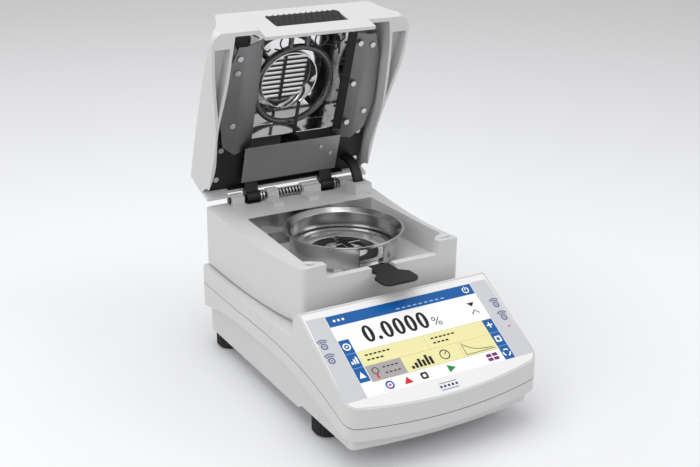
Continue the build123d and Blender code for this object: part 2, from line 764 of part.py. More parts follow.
def make_bumpers():
    """The low stops on the posts: a round one at the left and a stepped one at the right."""
    y = CHAMBER_FRONT_Y + 8.5
    stops = post(3.6, -72.0, y, CHAMBER_TOP_Z, CHAMBER_TOP_Z + 1.3)
    stops += block(64, 76, y - 4, y + 3, CHAMBER_TOP_Z, CHAMBER_TOP_Z + 0.8)
    stops += block(66, 76, y - 4, y + 1, CHAMBER_TOP_Z + 0.8, CHAMBER_TOP_Z + 1.6)
    return stops


# Hinge

def hinge_block(x0, x1, front=7.0):
    """A bearing block on the deck with a bore for the pin."""
    y = HINGE_Y
    shape = block(x0, x1, y - front, CHAMBER_REAR_Y, CHAMBER_TOP_Z, HINGE_Z)
    shape += rod_x(ARM_R, x0, x1, y, HINGE_Z) & block(x0, x1, 0, CHAMBER_REAR_Y, CHAMBER_TOP_Z, 200)
    shape += block(x0, x1, y - front, y, CHAMBER_TOP_Z, HINGE_Z + 4.5)
    return shape - rod_x(PIN_R + PIN_FIT, x0 - 1, x1 + 1, y, HINGE_Z)


def make_cable_tower():
    """The box on the deck that the cable horn runs into, and a pin bearing."""
    tower = block(*TOWER_X, *TOWER_Y, CHAMBER_TOP_Z, HINGE_Z)
    tower += block(*TOWER_X, TOWER_Y[0], TOWER_Y[0] + 20, HINGE_Z, TOWER_TOP_Z)
    tower += block(*TOWER_X, HINGE_Y - 7, HINGE_Y + 3, HINGE_Z, HINGE_Z + 4.5)
    half = HORN_WIDTH / 2 + HORN_SLOT_GAP
    horn_x = (TOWER_X[0] + TOWER_X[1]) / 2
    tower -= horn_ring(horn_x - half, horn_x + half, HORN_SLOT_GAP)
    return tower - rod_x(PIN_R + PIN_FIT, TOWER_X[0] - 1, TOWER_X[1] + 1, HINGE_Y, HINGE_Z)


def make_hinge_pin():
    return rod_x(PIN_R, PIN_LEFT_X, PIN_RIGHT_X, HINGE_Y, HINGE_Z)


def make_washers():
    """Thrust washers at the hinge arms, fixed on the pin."""
    rings = Part()
    for x in (ARM_LEFT_X[1] + 1.0, ARM_LEFT_X[1] + 4.0, ARM_RIGHT_X[1] + 1.0, ARM_RIGHT_X[1] + 4.0):
        ring = rod_x(ARM_R - 0.5, x, x + 1.6, HINGE_Y, HINGE_Z)
        rings += ring - rod_x(PIN_R, x - 1, x + 3, HINGE_Y, HINGE_Z)
    return rings


def make_friction_spring():
    """The coil that clasps the pin between the middle block and the saddle."""
    x0, x1 = BLOCK_MIDDLE_X[1], SADDLE_X[0]
    turns = 7
    coil_r = PIN_R + 1.1
    pitch = (x1 - x0 - 2.4) / turns
    path = Helix(pitch, pitch * turns, coil_r)
    wire_face = Plane(origin=path @ 0, z_dir=path % 0) * Circle(0.9)
    coil = sweep(wire_face, path=path, is_frenet=True)
    return Pos(x0 + 1.2, HINGE_Y, HINGE_Z) * Rot(0, 90, 0) * coil


# Draft shield, lifter and support

def make_draft_shield():
    """The turned bowl: stepped floor ring, wall, flared rim and window."""
    t = BOWL_THICK
    z0 = BOWL_BOTTOM_Z
    flare_z = BOWL_RIM_Z - 4.2
    step_z = z0 + BOWL_STEP_H
    profile = Polyline(
        (BOWL_STEP_R, z0), (BOWL_WALL_R, z0), (BOWL_WALL_R, flare_z),
        (BOWL_RIM_R - 1.0, BOWL_RIM_Z - 1.4), (BOWL_RIM_R, BOWL_RIM_Z - 1.4),
        (BOWL_RIM_R, BOWL_RIM_Z), (BOWL_RIM_R - 1.8, BOWL_RIM_Z),
        (BOWL_WALL_R - t, flare_z + 0.4), (BOWL_WALL_R - t, z0 + t),
        (BOWL_STEP_R + t, z0 + t), (BOWL_STEP_R + t, step_z + t),
        (BOWL_HOLE_R, step_z + t), (BOWL_HOLE_R, step_z), (BOWL_STEP_R, step_z), close=True,
    )
    bowl = Pos(0, BOWL_Y, 0) * revolve(Plane.XZ * make_face(profile), Axis.Z)
    left, right = math.radians(WINDOW_LEFT_DEG), math.radians(WINDOW_RIGHT_DEG)
    reach = 80.0
    wedge = make_face(Polyline(
        (0, 0), (reach * math.sin(left), -reach * math.cos(left)),
        (reach * math.sin(right), -reach * math.cos(right)), close=True,
    ))
    window = Pos(0, BOWL_Y, 0) * upright(wedge, z0 + WINDOW_SILL, WINDOW_TOP_Z)
    keep_floor = post(BOWL_WALL_R - t - 0.2, 0, BOWL_Y, z0, WINDOW_TOP_Z)
    return bowl - (window - keep_floor)


def make_pan_lifter():
    """The black handle: a ring on the chamber floor, a neck and a paddle."""
    t = LIFTER_THICK
    z0 = BOWL_BOTTOM_Z - t
    ring = post(LIFTER_RING_OUT_R, 0, BOWL_Y, z0, z0 + t)
    ring -= post(LIFTER_RING_IN_R, 0, BOWL_Y, z0 - 1, z0 + t + 1)
    inner_y = BOWL_Y - LIFTER_RING_IN_R - 2
    bend_y = BOWL_Y - BOWL_WALL_R - 3.5
    rise = LIFTER_TOP_Z - t - z0
    top_y = bend_y - rise * 1.25
    neck = side_polygon(
        [(inner_y, z0), (inner_y, z0 + t), (bend_y - 0.4, z0 + t),
         (top_y - 0.6, LIFTER_TOP_Z), (LIFTER_PADDLE_Y, LIFTER_TOP_Z),
         (LIFTER_PADDLE_Y, LIFTER_TOP_Z - t), (top_y + 0.6, LIFTER_TOP_Z - t), (bend_y + 0.6, z0)],
        -LIFTER_NECK_HALF, LIFTER_NECK_HALF,
    )
    grip = make_face(Polyline(
        (-LIFTER_NECK_HALF, LIFTER_PADDLE_START_Y + 4), (-LIFTER_PADDLE_HALF, LIFTER_PADDLE_START_Y - 3),
        (-LIFTER_PADDLE_HALF, LIFTER_PADDLE_Y), (LIFTER_PADDLE_HALF, LIFTER_PADDLE_Y),
        (LIFTER_PADDLE_HALF, LIFTER_PADDLE_START_Y - 3), (LIFTER_NECK_HALF, LIFTER_PADDLE_START_Y + 4),
        close=True,
    ))
    corners = grip.vertices().sort_by(Axis.Y)[:2]
    grip = fillet(corners, 8.0)
    sides = grip.vertices().filter_by(lambda v: abs(abs(v.X) - LIFTER_PADDLE_HALF) < 0.01)
    grip = fillet(sides.sort_by(Axis.Y)[-2:], 3.0)
    neck = neck - block(-50, 50, -150, LIFTER_PADDLE_START_Y, 0, 200)
    return ring + neck + upright(grip, LIFTER_TOP_Z - t, LIFTER_TOP_Z) - post(
        LIFTER_RING_IN_R, 0, BOWL_Y, z0 - 1, z0 + t + 1)


def make_pan_hub():
    """The hub that slips over the spindle and carries the cross."""
    hub = post(HUB_R, 0, BOWL_Y, SUPPORT_Z - 6, SUPPORT_Z)
    return hub - post(SPINDLE_R + 0.06, 0, BOWL_Y, SUPPORT_Z - 7, SUPPORT_Z - 4)


def make_pan_cross():
    """The bright cross that the sample pan stands on."""
    cross = block(-SUPPORT_ARM, SUPPORT_ARM, BOWL_Y - 3.5, BOWL_Y + 3.5,
                  SUPPORT_Z, SUPPORT_Z + SUPPORT_THICK)
    cross += block(-3.5, 3.5, BOWL_Y - SUPPORT_ARM, BOWL_Y + SUPPORT_ARM,
                   SUPPORT_Z, SUPPORT_Z + SUPPORT_THICK)
    return cross


# Lid

def hood_half_rim(s):
    """Half width of the hood at its rim: it flares to the grip wings."""
    t = min(max((s - 60) / 115.0, 0.0), 1.0)
    return LID_RIM_HALF + LID_WING * t * t * (3 - 2 * t)


def hood_half_top(s):
    """Half width of the hood near its top, slightly narrower in front."""
    return LID_TOP_HALF - LID_TOP_TAPER * (s / LID_FRONT_S) ** 2


def hood_top_h(s):
    """Height of the hood's top, gently crowned and falling to the front."""
    return LID_TOP_H + 1.2 - 5.6 * max(0.0, (s - 60) / 131.0) ** 2


def lid_plane(s):
    """A plane across the lid, with X to the right and Y up."""
    return Plane(origin=(0, HINGE_Y - s, HINGE_Z), x_dir=(1, 0, 0), z_dir=(0, -1, 0))


def hood_section(s):
    """The hood's outer section at S: lip, swept side, round shoulder, flat top."""
    rim, top, h = hood_half_rim(s), hood_half_top(s), hood_top_h(s)
    low = LID_LIP_H - 2
    r = LID_EDGE_R
    flare = rim - top
    side = [(rim, low), (rim, 2.5), (top + 0.46 * flare + 0.6, 14.0),
            (top + 0.14 * flare + 0.7, 27.0), (top, h - r)]
    k = r * (1 - math.sqrt(0.5))
    right = Line(side[0], side[1]) + Spline(*side[1:])
    right += ThreePointArc((top, h - r), (top - k, h - k), (top - r, h))
    left = Line((-rim, low), (-rim, 2.5)) + Spline(*[(-x, y) for x, y in side[1:]])
    left += ThreePointArc((-top, h - r), (-top + k, h - k), (-top + r, h))
    outline = right + left + Line((-top + r, h), (top - r, h)) + Line((-rim, low), (rim, low))
    return lid_plane(s) * make_face(outline)


def cavity_section(s):
    """The lid's inside section at S, open below."""
    t = LID_WALL
    h = hood_top_h(s) - t
    top = hood_half_top(s) - t
    rim = min(hood_half_rim(s) - t, 91.0 - 7.5 * max(0.0, (s - 90) / 95.0))
    outline = Polyline(
        (-rim, LID_LIP_H - 4), (rim, LID_LIP_H - 4), (rim, 0), (top, h - 6),
        (top - 6, h), (-top + 6, h), (-top, h - 6), (-rim, 0), close=True,
    )
    return lid_plane(s) * make_face(outline)


def lid_side(inset=0.0):
    """The hood's side outline: leaning ends, crowned top, sagging rim."""
    def at(s, h):
        return (HINGE_Y - s, HINGE_Z + h)
    rear = LID_REAR_S + inset
    front = LID_FRONT_S - inset
    low = LID_RIM_H if not inset else LID_LIP_H - 10
    top_rear = hood_top_h(10) - inset
    top_front = hood_top_h(front) - inset
    stations = (rear + LID_LEAN_REAR, 60, 120, front - LID_LEAN_FRONT)
    crown = [at(s, hood_top_h(s) - inset) for s in stations]
    outline = Line(at(rear, low), crown[0]) + Spline(*crown)
    outline += Line(crown[-1], at(front, low - 0.5))
    if inset:
        outline += Line(at(front, low - 0.5), at(rear, low))
    else:
        outline += Spline(at(front, low - 0.5), at(165, low - 5.0), at(125, low - 6.6),
                          at(60, low - 3.2), at(rear, low))
    return outline, top_rear, top_front


def make_lid_hood():
    """The lid's outer moulding, with wings, vents, a lip and a grille recess."""
    stations = (-4, 30, 62, 92, 120, 148, 176, 198)
    hood = loft([hood_section(s) for s in stations])
    outline, _, _ = lid_side()
    shape = side_form(outline, 130.0)
    lip = lid_block(-LID_LIP_HALF, LID_LIP_HALF, LID_FRONT_S - 3.2, LID_FRONT_S + 0.2,
                    LID_LIP_H, 3)
    plan = hood_plan()
    hood = hood & shape & upright(plan, 0, 400)
    cavity = loft([cavity_section(s) for s in (-4, 30, 62, 92, 120, 148, 176, 198)])
    inner, _, _ = lid_side(LID_WALL)
    hood -= cavity & side_form(inner, 130.0)
    hood += lip
    for side in (-1, 1):
        hood -= wing_pocket(side)
    hood -= vent_slots()
    hood -= lid_block(-GRILLE_HALF, GRILLE_HALF, LID_FRONT_S - GRILLE_DEPTH - 0.9, LID_FRONT_S + 5,
                      *GRILLE_H)
    inside = LID_REAR_S + LID_WALL + 1.5
    hood -= lid_block(PIN_LEFT_X - 1, TOWER_X[1] + 4, -5, inside, LID_RIM_H - 5, REAR_WALL_H)
    for x0, x1 in (ARM_LEFT_X, ARM_RIGHT_X):
        hood -= lid_block(x0 - 0.3, x1 + 0.3, -5, inside, LID_RIM_H - 5, FRAME_H[1] + 1)
    return hood + hood_posts()


def hood_plan():
    """The hood's outline from above, with its rounded front corners."""
    face = make_face(Polyline(
        (-130, HINGE_Y + 10), (130, HINGE_Y + 10), (130, HINGE_Y - 150),
        (hood_half_rim(190), HINGE_Y - 150),
        (hood_half_rim(190) + 0.4, HINGE_Y - LID_FRONT_S - 0.5),
        (-hood_half_rim(190) - 0.4, HINGE_Y - LID_FRONT_S - 0.5),
        (-hood_half_rim(190), HINGE_Y - 150), (-130, HINGE_Y - 150), close=True,
    ))
    corners = face.vertices().sort_by(Axis.Y)[:2]
    return fillet(corners, LID_FRONT_CORNER_R)


def wing_pocket(side):
    """The leaf-shaped hollow under one grip wing."""
    outer = [(hood_half_rim(s) - 3.0, s) for s in (100, 120, 140, 160, 176)]
    inner = [(93.5 - 7.5 * max(0.0, (s - 90) / 95.0) + 0.6, s) for s in (176, 140, 104)]
    points = [(side * x, HINGE_Y - s) for x, s in outer + inner]
    return upright(make_face(Polyline(*points, close=True)), HINGE_Z - 30, HINGE_Z + 5)


def vent_slots():
    """Two columns of slots through the hood's top, over the round opening."""
    cuts = Part()
    for row in range(VENT_ROWS):
        s = OPENING_S + (row - (VENT_ROWS - 1) / 2) * VENT_PITCH
        for x0, x1 in (VENT_X, (-VENT_X[1], -VENT_X[0])):
            cuts += lid_block(x0, x1, s - VENT_SLOT / 2, s + VENT_SLOT / 2, LID_TOP_H - 12, 60)
    return cuts


FRAME_SCREWS = ((-80.0, 22.0), (80.0, 22.0), (-78.0, 56.0), (78.0, 56.0))
PLATE_SCREWS = ((-72.0, 87.0), (-73.0, 145.0), (-72.0, 160.0), (76.0, 84.0), (72.0, 160.0))
COVER_SCREWS = ((32.0, 47.5), (44.5, 37.5))
RAIL_BOLTS = ((58.5, 72.0), (58.5, 117.0), (58.5, 162.0))
REFLECTOR_POSTS = ((-52.0, 70.0), (52.0, 70.0), (-52.0, 168.0), (52.0, 168.0))


def hood_posts():
    """Screw posts that hang from the hood's top."""
    posts = Part()
    for places, end_h in ((FRAME_SCREWS, FRAME_H[1]), (PLATE_SCREWS, SIDE_PLATE_H + SHEET),
                          (REFLECTOR_POSTS, REFLECTOR_H[1] + SHEET)):
        for x, s in places:
            posts += lid_post(4.0, x, s, end_h, hood_top_h(s) - LID_WALL + 0.5)
    return posts


def make_front_grille():
    """The dark grille in the front wall: a back plate with slanted ribs."""
    s0 = LID_FRONT_S - GRILLE_DEPTH - 0.9
    h0, h1 = GRILLE_H[0] + 0.2, GRILLE_H[1] - 0.2
    half = GRILLE_HALF - 0.2
    grille = lid_block(-half, half, s0, s0 + 0.8, h0, h1)
    pitch = 2 * half / GRILLE_RIBS
    bars = Part()
    for k in range(GRILLE_RIBS + 2):
        x = -half + (k - 0.5) * pitch
        bar = Polyline((x - 5.5, h0 - 1), (x - 4.0, h0 - 1), (x + 6.0, h1 + 1), (x + 4.5, h1 + 1), close=True)
        bars += extrude(lid_plane(s0 + 0.8) * make_face(bar), amount=0.9)
    return grille + (bars & lid_block(-half, half, s0, s0 + 3, h0, h1))


def make_lid_frame():
    """The black frame at the hinge end, with two arms that turn on the pin."""
    frame = lid_block(-FRAME_HALF, FRAME_HALF, *FRAME_S, *FRAME_H)
    frame += lid_block(-66, 66, FRAME_S[0], FRAME_S[0] + 1.5, REAR_WALL_H - 0.6, FRAME_H[0])
    frame -= lid_block(-40, 40, 34, FRAME_S[1] + 1, FRAME_H[0] - 1, FRAME_H[1] + 1)
    frame -= lid_block(-66, 66, FRAME_S[1] - 8.5, FRAME_S[1] + 1, FRAME_H[0] - 1, FRAME_H[1] + 1)
    for side in (-1, 1):
        x0, x1 = sorted((side * 80.0, side * FRAME_HALF))
        frame += lid_block(x0, x1, FRAME_S[1] - 1, 97, *FRAME_H)
    for x0, x1 in (ARM_LEFT_X, ARM_RIGHT_X):
        frame += hinge_arm(x0, x1)
    for x, s in FRAME_SCREWS:
        frame -= lid_post(SCREW_R, x, s, FRAME_H[0] - 1, FRAME_H[1] + 1)
    frame -= rod_x(PIN_R + PIN_FIT, -FRAME_HALF, FRAME_HALF, HINGE_Y, HINGE_Z)
    return frame


def hinge_arm(x0, x1):
    """One arm: an eye round the pin and a gusset up to the frame."""
    arm = rod_x(ARM_R, x0, x1, HINGE_Y, HINGE_Z)
    h = FRAME_H[0] + 0.5
    arm += side_polygon(
        [(HINGE_Y + 1.5, HINGE_Z + ARM_R - 1.5), (HINGE_Y - FRAME_S[0], HINGE_Z + h + 1.5),
         (HINGE_Y - FRAME_S[0] - 12, HINGE_Z + h), (HINGE_Y - ARM_R + 1.5, HINGE_Z - 1)],
        x0, x1,
    )
    return arm


def flange_h(x):
    """Height of the side plates' sloping flange at x, on its lower face."""
    return SIDE_PLATE_H + (SIDE_PLATE_BEND_X - x) * math.tan(math.radians(SIDE_PLATE_SLOPE))


def make_side_plate(side, inner_x):
    """A bent sheet plate beside the heater, with its screw holes."""
    h = SIDE_PLATE_H
    bend = SIDE_PLATE_BEND_X
    points = [(bend, 52.5), (80, 64), (FRAME_HALF, 95), (82, 150), (74, 172), (bend, 172)]
    outline = [(side * x, HINGE_Y - s) for x, s in points]
    flat = upright(make_face(Polyline(*outline, close=True)), HINGE_Z + h, HINGE_Z + h + SHEET)
    high = flange_h(inner_x)
    section = [(side * SIDE_PLATE_BEND_X, h), (side * inner_x, high),
               (side * inner_x, high + SHEET), (side * SIDE_PLATE_BEND_X, h + SHEET)]
    face = lid_plane(52.5) * make_face(Polyline(*section, close=True))
    flange = extrude(face, amount=172 - 52.5)
    plate = flat + flange
    for x, s in PLATE_SCREWS:
        plate -= lid_post(SCREW_R, x, s, h - 1, h + SHEET + 1)
    return plate


def make_lower_plate():
    """The plain plate over the wiring at the hinge end."""
    plate = lid_block(-LOWER_PLATE_HALF, LOWER_PLATE_HALF, *LOWER_PLATE_S,
                      SIDE_PLATE_H, SIDE_PLATE_H + SHEET)
    for x in (-28.0, 28.0):
        plate += lid_block(x - 4, x + 4, LOWER_PLATE_S[0], LOWER_PLATE_S[0] + SHEET,
                           SIDE_PLATE_H, FRAME_H[0])
    for x in (-48.0, 48.0):
        plate += lid_block(x - 4, x + 4, LOWER_PLATE_S[1] - 12, LOWER_PLATE_S[1] - 12 + SHEET,
                           SIDE_PLATE_H, FRAME_H[0])
    return plate


def make_reflector():
    """A mirror-bright pan with a round opening under the vents."""
    x, h0, h1 = REFLECTOR_HALF, *REFLECTOR_H
    pan = lid_block(-x, x, *REFLECTOR_S, h0, h1 + SHEET)
    pan -= lid_block(-x + SHEET, x - SHEET, REFLECTOR_S[0] + SHEET, REFLECTOR_S[1] - SHEET, h0 - 1, h1)
    return pan - lid_post(OPENING_R + COLLAR_WALL, 0, OPENING_S, h1 - 1, h1 + 5)


def make_collar():
    """The short tube between the reflector and the vents."""
    h0 = REFLECTOR_H[1] - 6
    h1 = hood_top_h(OPENING_S + OPENING_R) - LID_WALL - 0.4
    tube = lid_post(OPENING_R + COLLAR_WALL, 0, OPENING_S, h0, h1)
    return tube - lid_post(OPENING_R, 0, OPENING_S, h0 - 1, h1 + 1)


def make_heater_ring():
    """The ring-shaped heater tube with its two ends turned to the terminals."""
    ring = Pos(0, HINGE_Y - OPENING_S, HINGE_Z + HEATER_H) * Torus(HEATER_R, HEATER_TUBE_R)
    s0 = OPENING_S + HEATER_R - 2
    for x in (-9.0, 9.0):
        leg = Pos(x, HINGE_Y - (s0 + 8), HINGE_Z + HEATER_H) * Rot(90, 0, 0) * Cylinder(
            HEATER_TUBE_R - 0.6, 16)
        ring += leg
    return ring


def make_heater_brackets():
    """Four straps that hang the ring from the reflector."""
    straps = Part()
    for degrees in (45, 135, 225, 315):
        turn = math.radians(degrees)
        x, s = HEATER_R * math.cos(turn), OPENING_S + HEATER_R * math.sin(turn)
        straps += lid_block(x - 2, x + 2, s - 2, s + 2, HEATER_H + HEATER_TUBE_R + 0.1, REFLECTOR_H[1])
    return straps


def make_terminal_block():
    """The ceramic block that the heater's ends stand in."""
    s0 = OPENING_S + HEATER_R + 14.1
    return lid_block(-16, 16, s0, REFLECTOR_S[1] - SHEET, HEATER_H - 5, REFLECTOR_H[1])


def make_sensor():
    """The temperature sensor's rod, on its holder."""
    rod = Pos(4, HINGE_Y - 76, HINGE_Z + SENSOR_H) * Rot(90, 0, 0) * Cylinder(1.8, 44)
    return rod


def make_sensor_holder():
    """The holder that stands on the frame and clasps the sensor."""
    holder = lid_block(-4, 12, 42, 54, FRAME_H[1] - 3, 24)
    foot = lid_block(-42, 42, 38, 43, FRAME_H[1], FRAME_H[1] + 2)
    return holder + foot - lid_block(-50, 50, 30, 37, 0, 40)


def make_side_rail():
    """The dark rail on the right-hand plate's flange, with its short hooks."""
    x0, x1 = SIDE_PLATE_RIGHT_X - 0.5, SIDE_PLATE_RIGHT_X + 7.0
    section = [(x0, flange_h(x0)), (x1, flange_h(x1)), (x1, flange_h(x1) - 2.0), (x0, flange_h(x0) - 2.0)]
    face = lid_plane(62) * make_face(Polyline(*section, close=True))
    rail = extrude(face, amount=110)
    for k in range(6):
        s = 70 + 18 * k
        rail += lid_block(x0 - 3.5, x0 + 1, s, s + 2.5, flange_h(x0) - 2.0, flange_h(x0) - 0.6)
    return rail


def make_cable_horn():
    """The curved sleeve that carries the heater's wires round the hinge."""
    x = (TOWER_X[0] + TOWER_X[1]) / 2
    half = HORN_WIDTH / 2
    outer = rod_x(HORN_R + HORN_THICK / 2, x - half, x + half, HINGE_Y, HINGE_Z)
    ring = outer - rod_x(HORN_R - HORN_THICK / 2, x - 20, x + 20, HINGE_Y, HINGE_Z)
    tip = math.radians(OPEN_ANGLE + 8)
    reach = 60.0
    sector = side_polygon(
        [(HINGE_Y, HINGE_Z),
         (HINGE_Y - reach * math.cos(tip), HINGE_Z - reach * math.sin(tip)),
         (HINGE_Y - reach * 1.2, HINGE_Z - reach * 0.8),
         (HINGE_Y - reach, HINGE_Z + FRAME_H[0]), (HINGE_Y, HINGE_Z + FRAME_H[0])],
        x - 20, x + 20,
    )
    return ring & sector


def make_lid_screws():
    """Pan-head screws for the frame and the side plates."""
    screws = Part()
    for places, h in ((FRAME_SCREWS, FRAME_H[0]), (PLATE_SCREWS, SIDE_PLATE_H)):
        for x, s in places:
            screws += lid_post(SCREW_HEAD_R, x, s, h - SCREW_HEAD_H, h)
    for x, s in COVER_SCREWS:
        screws += lid_post(2.2, x, s, SIDE_PLATE_H - SCREW_HEAD_H, SIDE_PLATE_H)
    for x, s in RAIL_BOLTS:
        low = flange_h(x + SCREW_HEAD_R)
        screws += lid_post(SCREW_HEAD_R, x, s, low - 2.4, low)
    return screws


def save(name, shape):
    """Write one piece to its own file."""
    solids = shape.solids()
    whole = solids[0] if len(solids) == 1 else Compound(children=list(solids))
    whole.label = name
    export_step(whole, os.path.join("parts", name + ".step"))


def main():
    save("upper_shell", make_upper_shell())
    save("lower_shell", make_lower_shell())
    save("touch_glass", make_touch_glass())
    save("display_module", display_box())
    save("chassis_plate", make_chassis_plate())
    save("load_cell", make_load_cell())
    save("cell_riser", make_cell_riser())
    save("spindle", make_spindle())
    save("main_board", make_main_board())
    save("power_supply", make_power_supply())
    save("mains_inlet", make_mains_inlet())
    save("inlet_pins", make_inlet_pins())
    save("rocker_frame", make_rocker_frame())
    save("power_rocker", make_power_rocker())
    for name, x, half_w, half_h, wall in port_places():
        save(name, make_port(x, half_w, half_h, wall))
    for name, x, y, tray_z in foot_places():
        save("foot_" + name, make_foot(x, y, tray_z))
        save("foot_stud_" + name, make_stud(x, y, tray_z))
    save("chamber_housing", make_chamber_housing())
    save("chamber_liner", make_chamber_liner())
    save("bumpers", make_bumpers())
    save("hinge_block_left", hinge_block(*BLOCK_LEFT_X))
    save("hinge_block_middle", hinge_block(*BLOCK_MIDDLE_X))
    save("hinge_saddle", hinge_block(*SADDLE_X, front=9.0))
    save("cable_tower", make_cable_tower())
    save("hinge_pin", make_hinge_pin())
    save("hinge_washers", make_washers())
    save("friction_spring", make_friction_spring())
    save("draft_shield", make_draft_shield())
    save("pan_lifter", make_pan_lifter())
    save("pan_hub", make_pan_hub())
    save("pan_cross", make_pan_cross())
    save("lid_hood", opened(make_lid_hood()))
    save("lid_front_grille", opened(make_front_grille()))
    save("lid_frame", opened(make_lid_frame()))
    save("side_plate_left", opened(make_side_plate(-1, SIDE_PLATE_LEFT_X)))
    save("side_plate_right", opened(make_side_plate(1, SIDE_PLATE_RIGHT_X)))
    save("lower_plate", opened(make_lower_plate()))
    save("reflector", opened(make_reflector()))
    save("reflector_collar", opened(make_collar()))
    save("heater_ring", opened(make_heater_ring()))
    save("heater_brackets", opened(make_heater_brackets()))
    save("terminal_block", opened(make_terminal_block()))
    save("sensor_rod", opened(make_sensor()))
    save("sensor_holder", opened(make_sensor_holder()))
    save("side_rail", opened(make_side_rail()))
    save("cable_horn", opened(make_cable_horn()))
    save("lid_screws", opened(make_lid_screws()))


main()
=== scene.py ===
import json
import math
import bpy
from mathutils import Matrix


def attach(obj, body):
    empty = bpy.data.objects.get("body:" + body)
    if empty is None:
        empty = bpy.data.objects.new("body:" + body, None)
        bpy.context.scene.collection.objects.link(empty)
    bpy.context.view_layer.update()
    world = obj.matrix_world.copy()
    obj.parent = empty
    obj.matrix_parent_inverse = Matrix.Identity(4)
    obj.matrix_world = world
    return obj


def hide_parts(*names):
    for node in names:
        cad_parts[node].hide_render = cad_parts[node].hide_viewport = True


bl_info = {
    "name": "Moisture analyzer",
    "version": (1, 0, 0),
    "blender": (4, 5, 0),
    "location": "View3D > Sidebar > Analyzer",
    "description": "Dresses the packed moisture analyzer with finished surfaces, a lit screen and a studio",
    "category": "Object",
}

import bmesh
import bpy
import numpy as np
from bpy.props import FloatProperty, FloatVectorProperty, PointerProperty
from mathutils import Matrix, Vector

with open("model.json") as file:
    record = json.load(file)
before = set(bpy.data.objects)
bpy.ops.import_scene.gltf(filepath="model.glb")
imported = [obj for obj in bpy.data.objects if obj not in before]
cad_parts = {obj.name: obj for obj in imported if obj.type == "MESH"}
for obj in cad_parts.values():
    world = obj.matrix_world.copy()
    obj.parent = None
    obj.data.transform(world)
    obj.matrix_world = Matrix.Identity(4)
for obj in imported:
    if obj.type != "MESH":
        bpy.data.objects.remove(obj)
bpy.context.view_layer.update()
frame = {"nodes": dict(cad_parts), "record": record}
NODES = frame["nodes"]
BODY = {n: body for body, names in frame["record"]["behaviour"]["bodies"].items() for n in names}
SLOT = {s["node"]: s["material_slot"] for s in frame["record"]["subparts"]}

# Places are in metres; sizes in mm are multiplied by MM where they are used
MM = 0.001
MM_PER_M = 1000.0
HEAD_TILT = math.radians(30.6)
RIDGE = Vector((0.0, -0.0758, 0.1153))
HINGE = Vector((0.0, 0.131, 0.151))
LID_OPEN = math.radians(72.8)


# Shader expressions

class Wire:
    """A shader socket that takes part in ordinary sums; each operator adds one Math node."""

    def __init__(self, coat, socket):
        self.coat = coat
        self.socket = socket

    def math(self, operation, *others):
        return self.coat.add("ShaderNodeMath", {"operation": operation}, [self, *others])

    def __add__(self, other):
        return self.math("ADD", other)

    __radd__ = __add__

    def __mul__(self, other):
        return self.math("MULTIPLY", other)

    def __sub__(self, other):
        return self.math("SUBTRACT", other)

    def __gt__(self, other):
        return self.math("GREATER_THAN", other)


class Coat:
    """One material: its shader, and the one way in which its nodes are added."""

    def __init__(self, name, **fixed):
        self.material = bpy.data.materials.new(name)
        self.material.use_nodes = True
        self.tree = self.material.node_tree
        self.shader = self.tree.nodes["Principled BSDF"]
        for key, value in fixed.items():
            label = key.replace("_", " ").title().replace("Ior", "IOR")
            self.shader.inputs[label].default_value = value
        self.place = Wire(self, self.tree.nodes.new("ShaderNodeTexCoord").outputs["Object"])

    def plug(self, socket, value):
        """Links a wire to a socket, or sets the socket to a plain value."""
        if isinstance(value, Wire):
            self.tree.links.new(value.socket, socket)
        else:
            socket.default_value = value

    def add(self, kind, settings, inputs, output=0):
        """Adds a node: settings first, then the values or links of its sockets."""
        node = self.tree.nodes.new(kind)
        stops = settings.pop("stops", None)
        for key, value in settings.items():
            setattr(node, key, value)
        if stops:
            ramp = node.color_ramp
            while len(ramp.elements) < len(stops):
                ramp.elements.new(0.5)
            for element, (at, colour) in zip(ramp.elements, stops):
                element.position = at
                element.color = (*colour, 1.0)
        pairs = inputs.items() if isinstance(inputs, dict) else enumerate(inputs)
        for key, value in pairs:
            self.plug(node.inputs[key], value)
        return Wire(self, node.outputs[output])

    def noise(self, scale, detail=3.0, stretch=None):
        """Noise on the object's own coordinates, squeezed along the axes of stretch."""
        vector = self.place
        if stretch:
            vector = self.add("ShaderNodeMapping", {}, {"Vector": vector, "Scale": stretch})
        return self.add("ShaderNodeTexNoise", {}, {"Vector": vector, "Scale": scale, "Detail": detail})

    def blend(self, factor, a, b):
        """A colour between a and b; the node's colour sockets are 6, 7 and, going out, 2."""
        return self.add("ShaderNodeMix", {"data_type": "RGBA"}, {0: factor, 6: a, 7: b}, 2)

    def split(self, vector):
        """The x, y and z of a vector."""
        first = self.add("ShaderNodeSeparateXYZ", {}, [vector])
        return [Wire(self, socket) for socket in first.socket.node.outputs]

    def feed(self, name, value):
        """Plugs a value into the shader's input of that name."""
        self.plug(self.shader.inputs[name], value)

    def bump(self, height, strength, distance):
        """Relief from a height, at most distance deep, in metres."""
        inputs = {"Height": height, "Strength": strength, "Distance": distance}
        self.feed("Normal", self.add("ShaderNodeBump", {}, inputs, "Normal"))


def rgb(level, tint=(1, 1, 1)):
    """A linear colour of one level, slightly tinted."""
    return tuple(level * t for t in tint) + (1.0,)


def moulded(name, colour, rough, grain, depth):
    """Moulded plastic: fine spark-eroded grain, slow shifts of tone and of gloss."""
    coat = Coat(name, specular_ior_level=0.45)
    slow = coat.noise(14.0, 2.0)
    fine = coat.noise(grain, 4.0)
    dark = tuple(c * 0.94 for c in colour[:3]) + (1.0,)
    coat.feed("Base Color", coat.blend(slow, colour, dark))
    coat.feed("Roughness", rough - 0.05 + slow * 0.08 + fine * 0.03)
    coat.bump(fine, depth, 0.0001)
    return coat


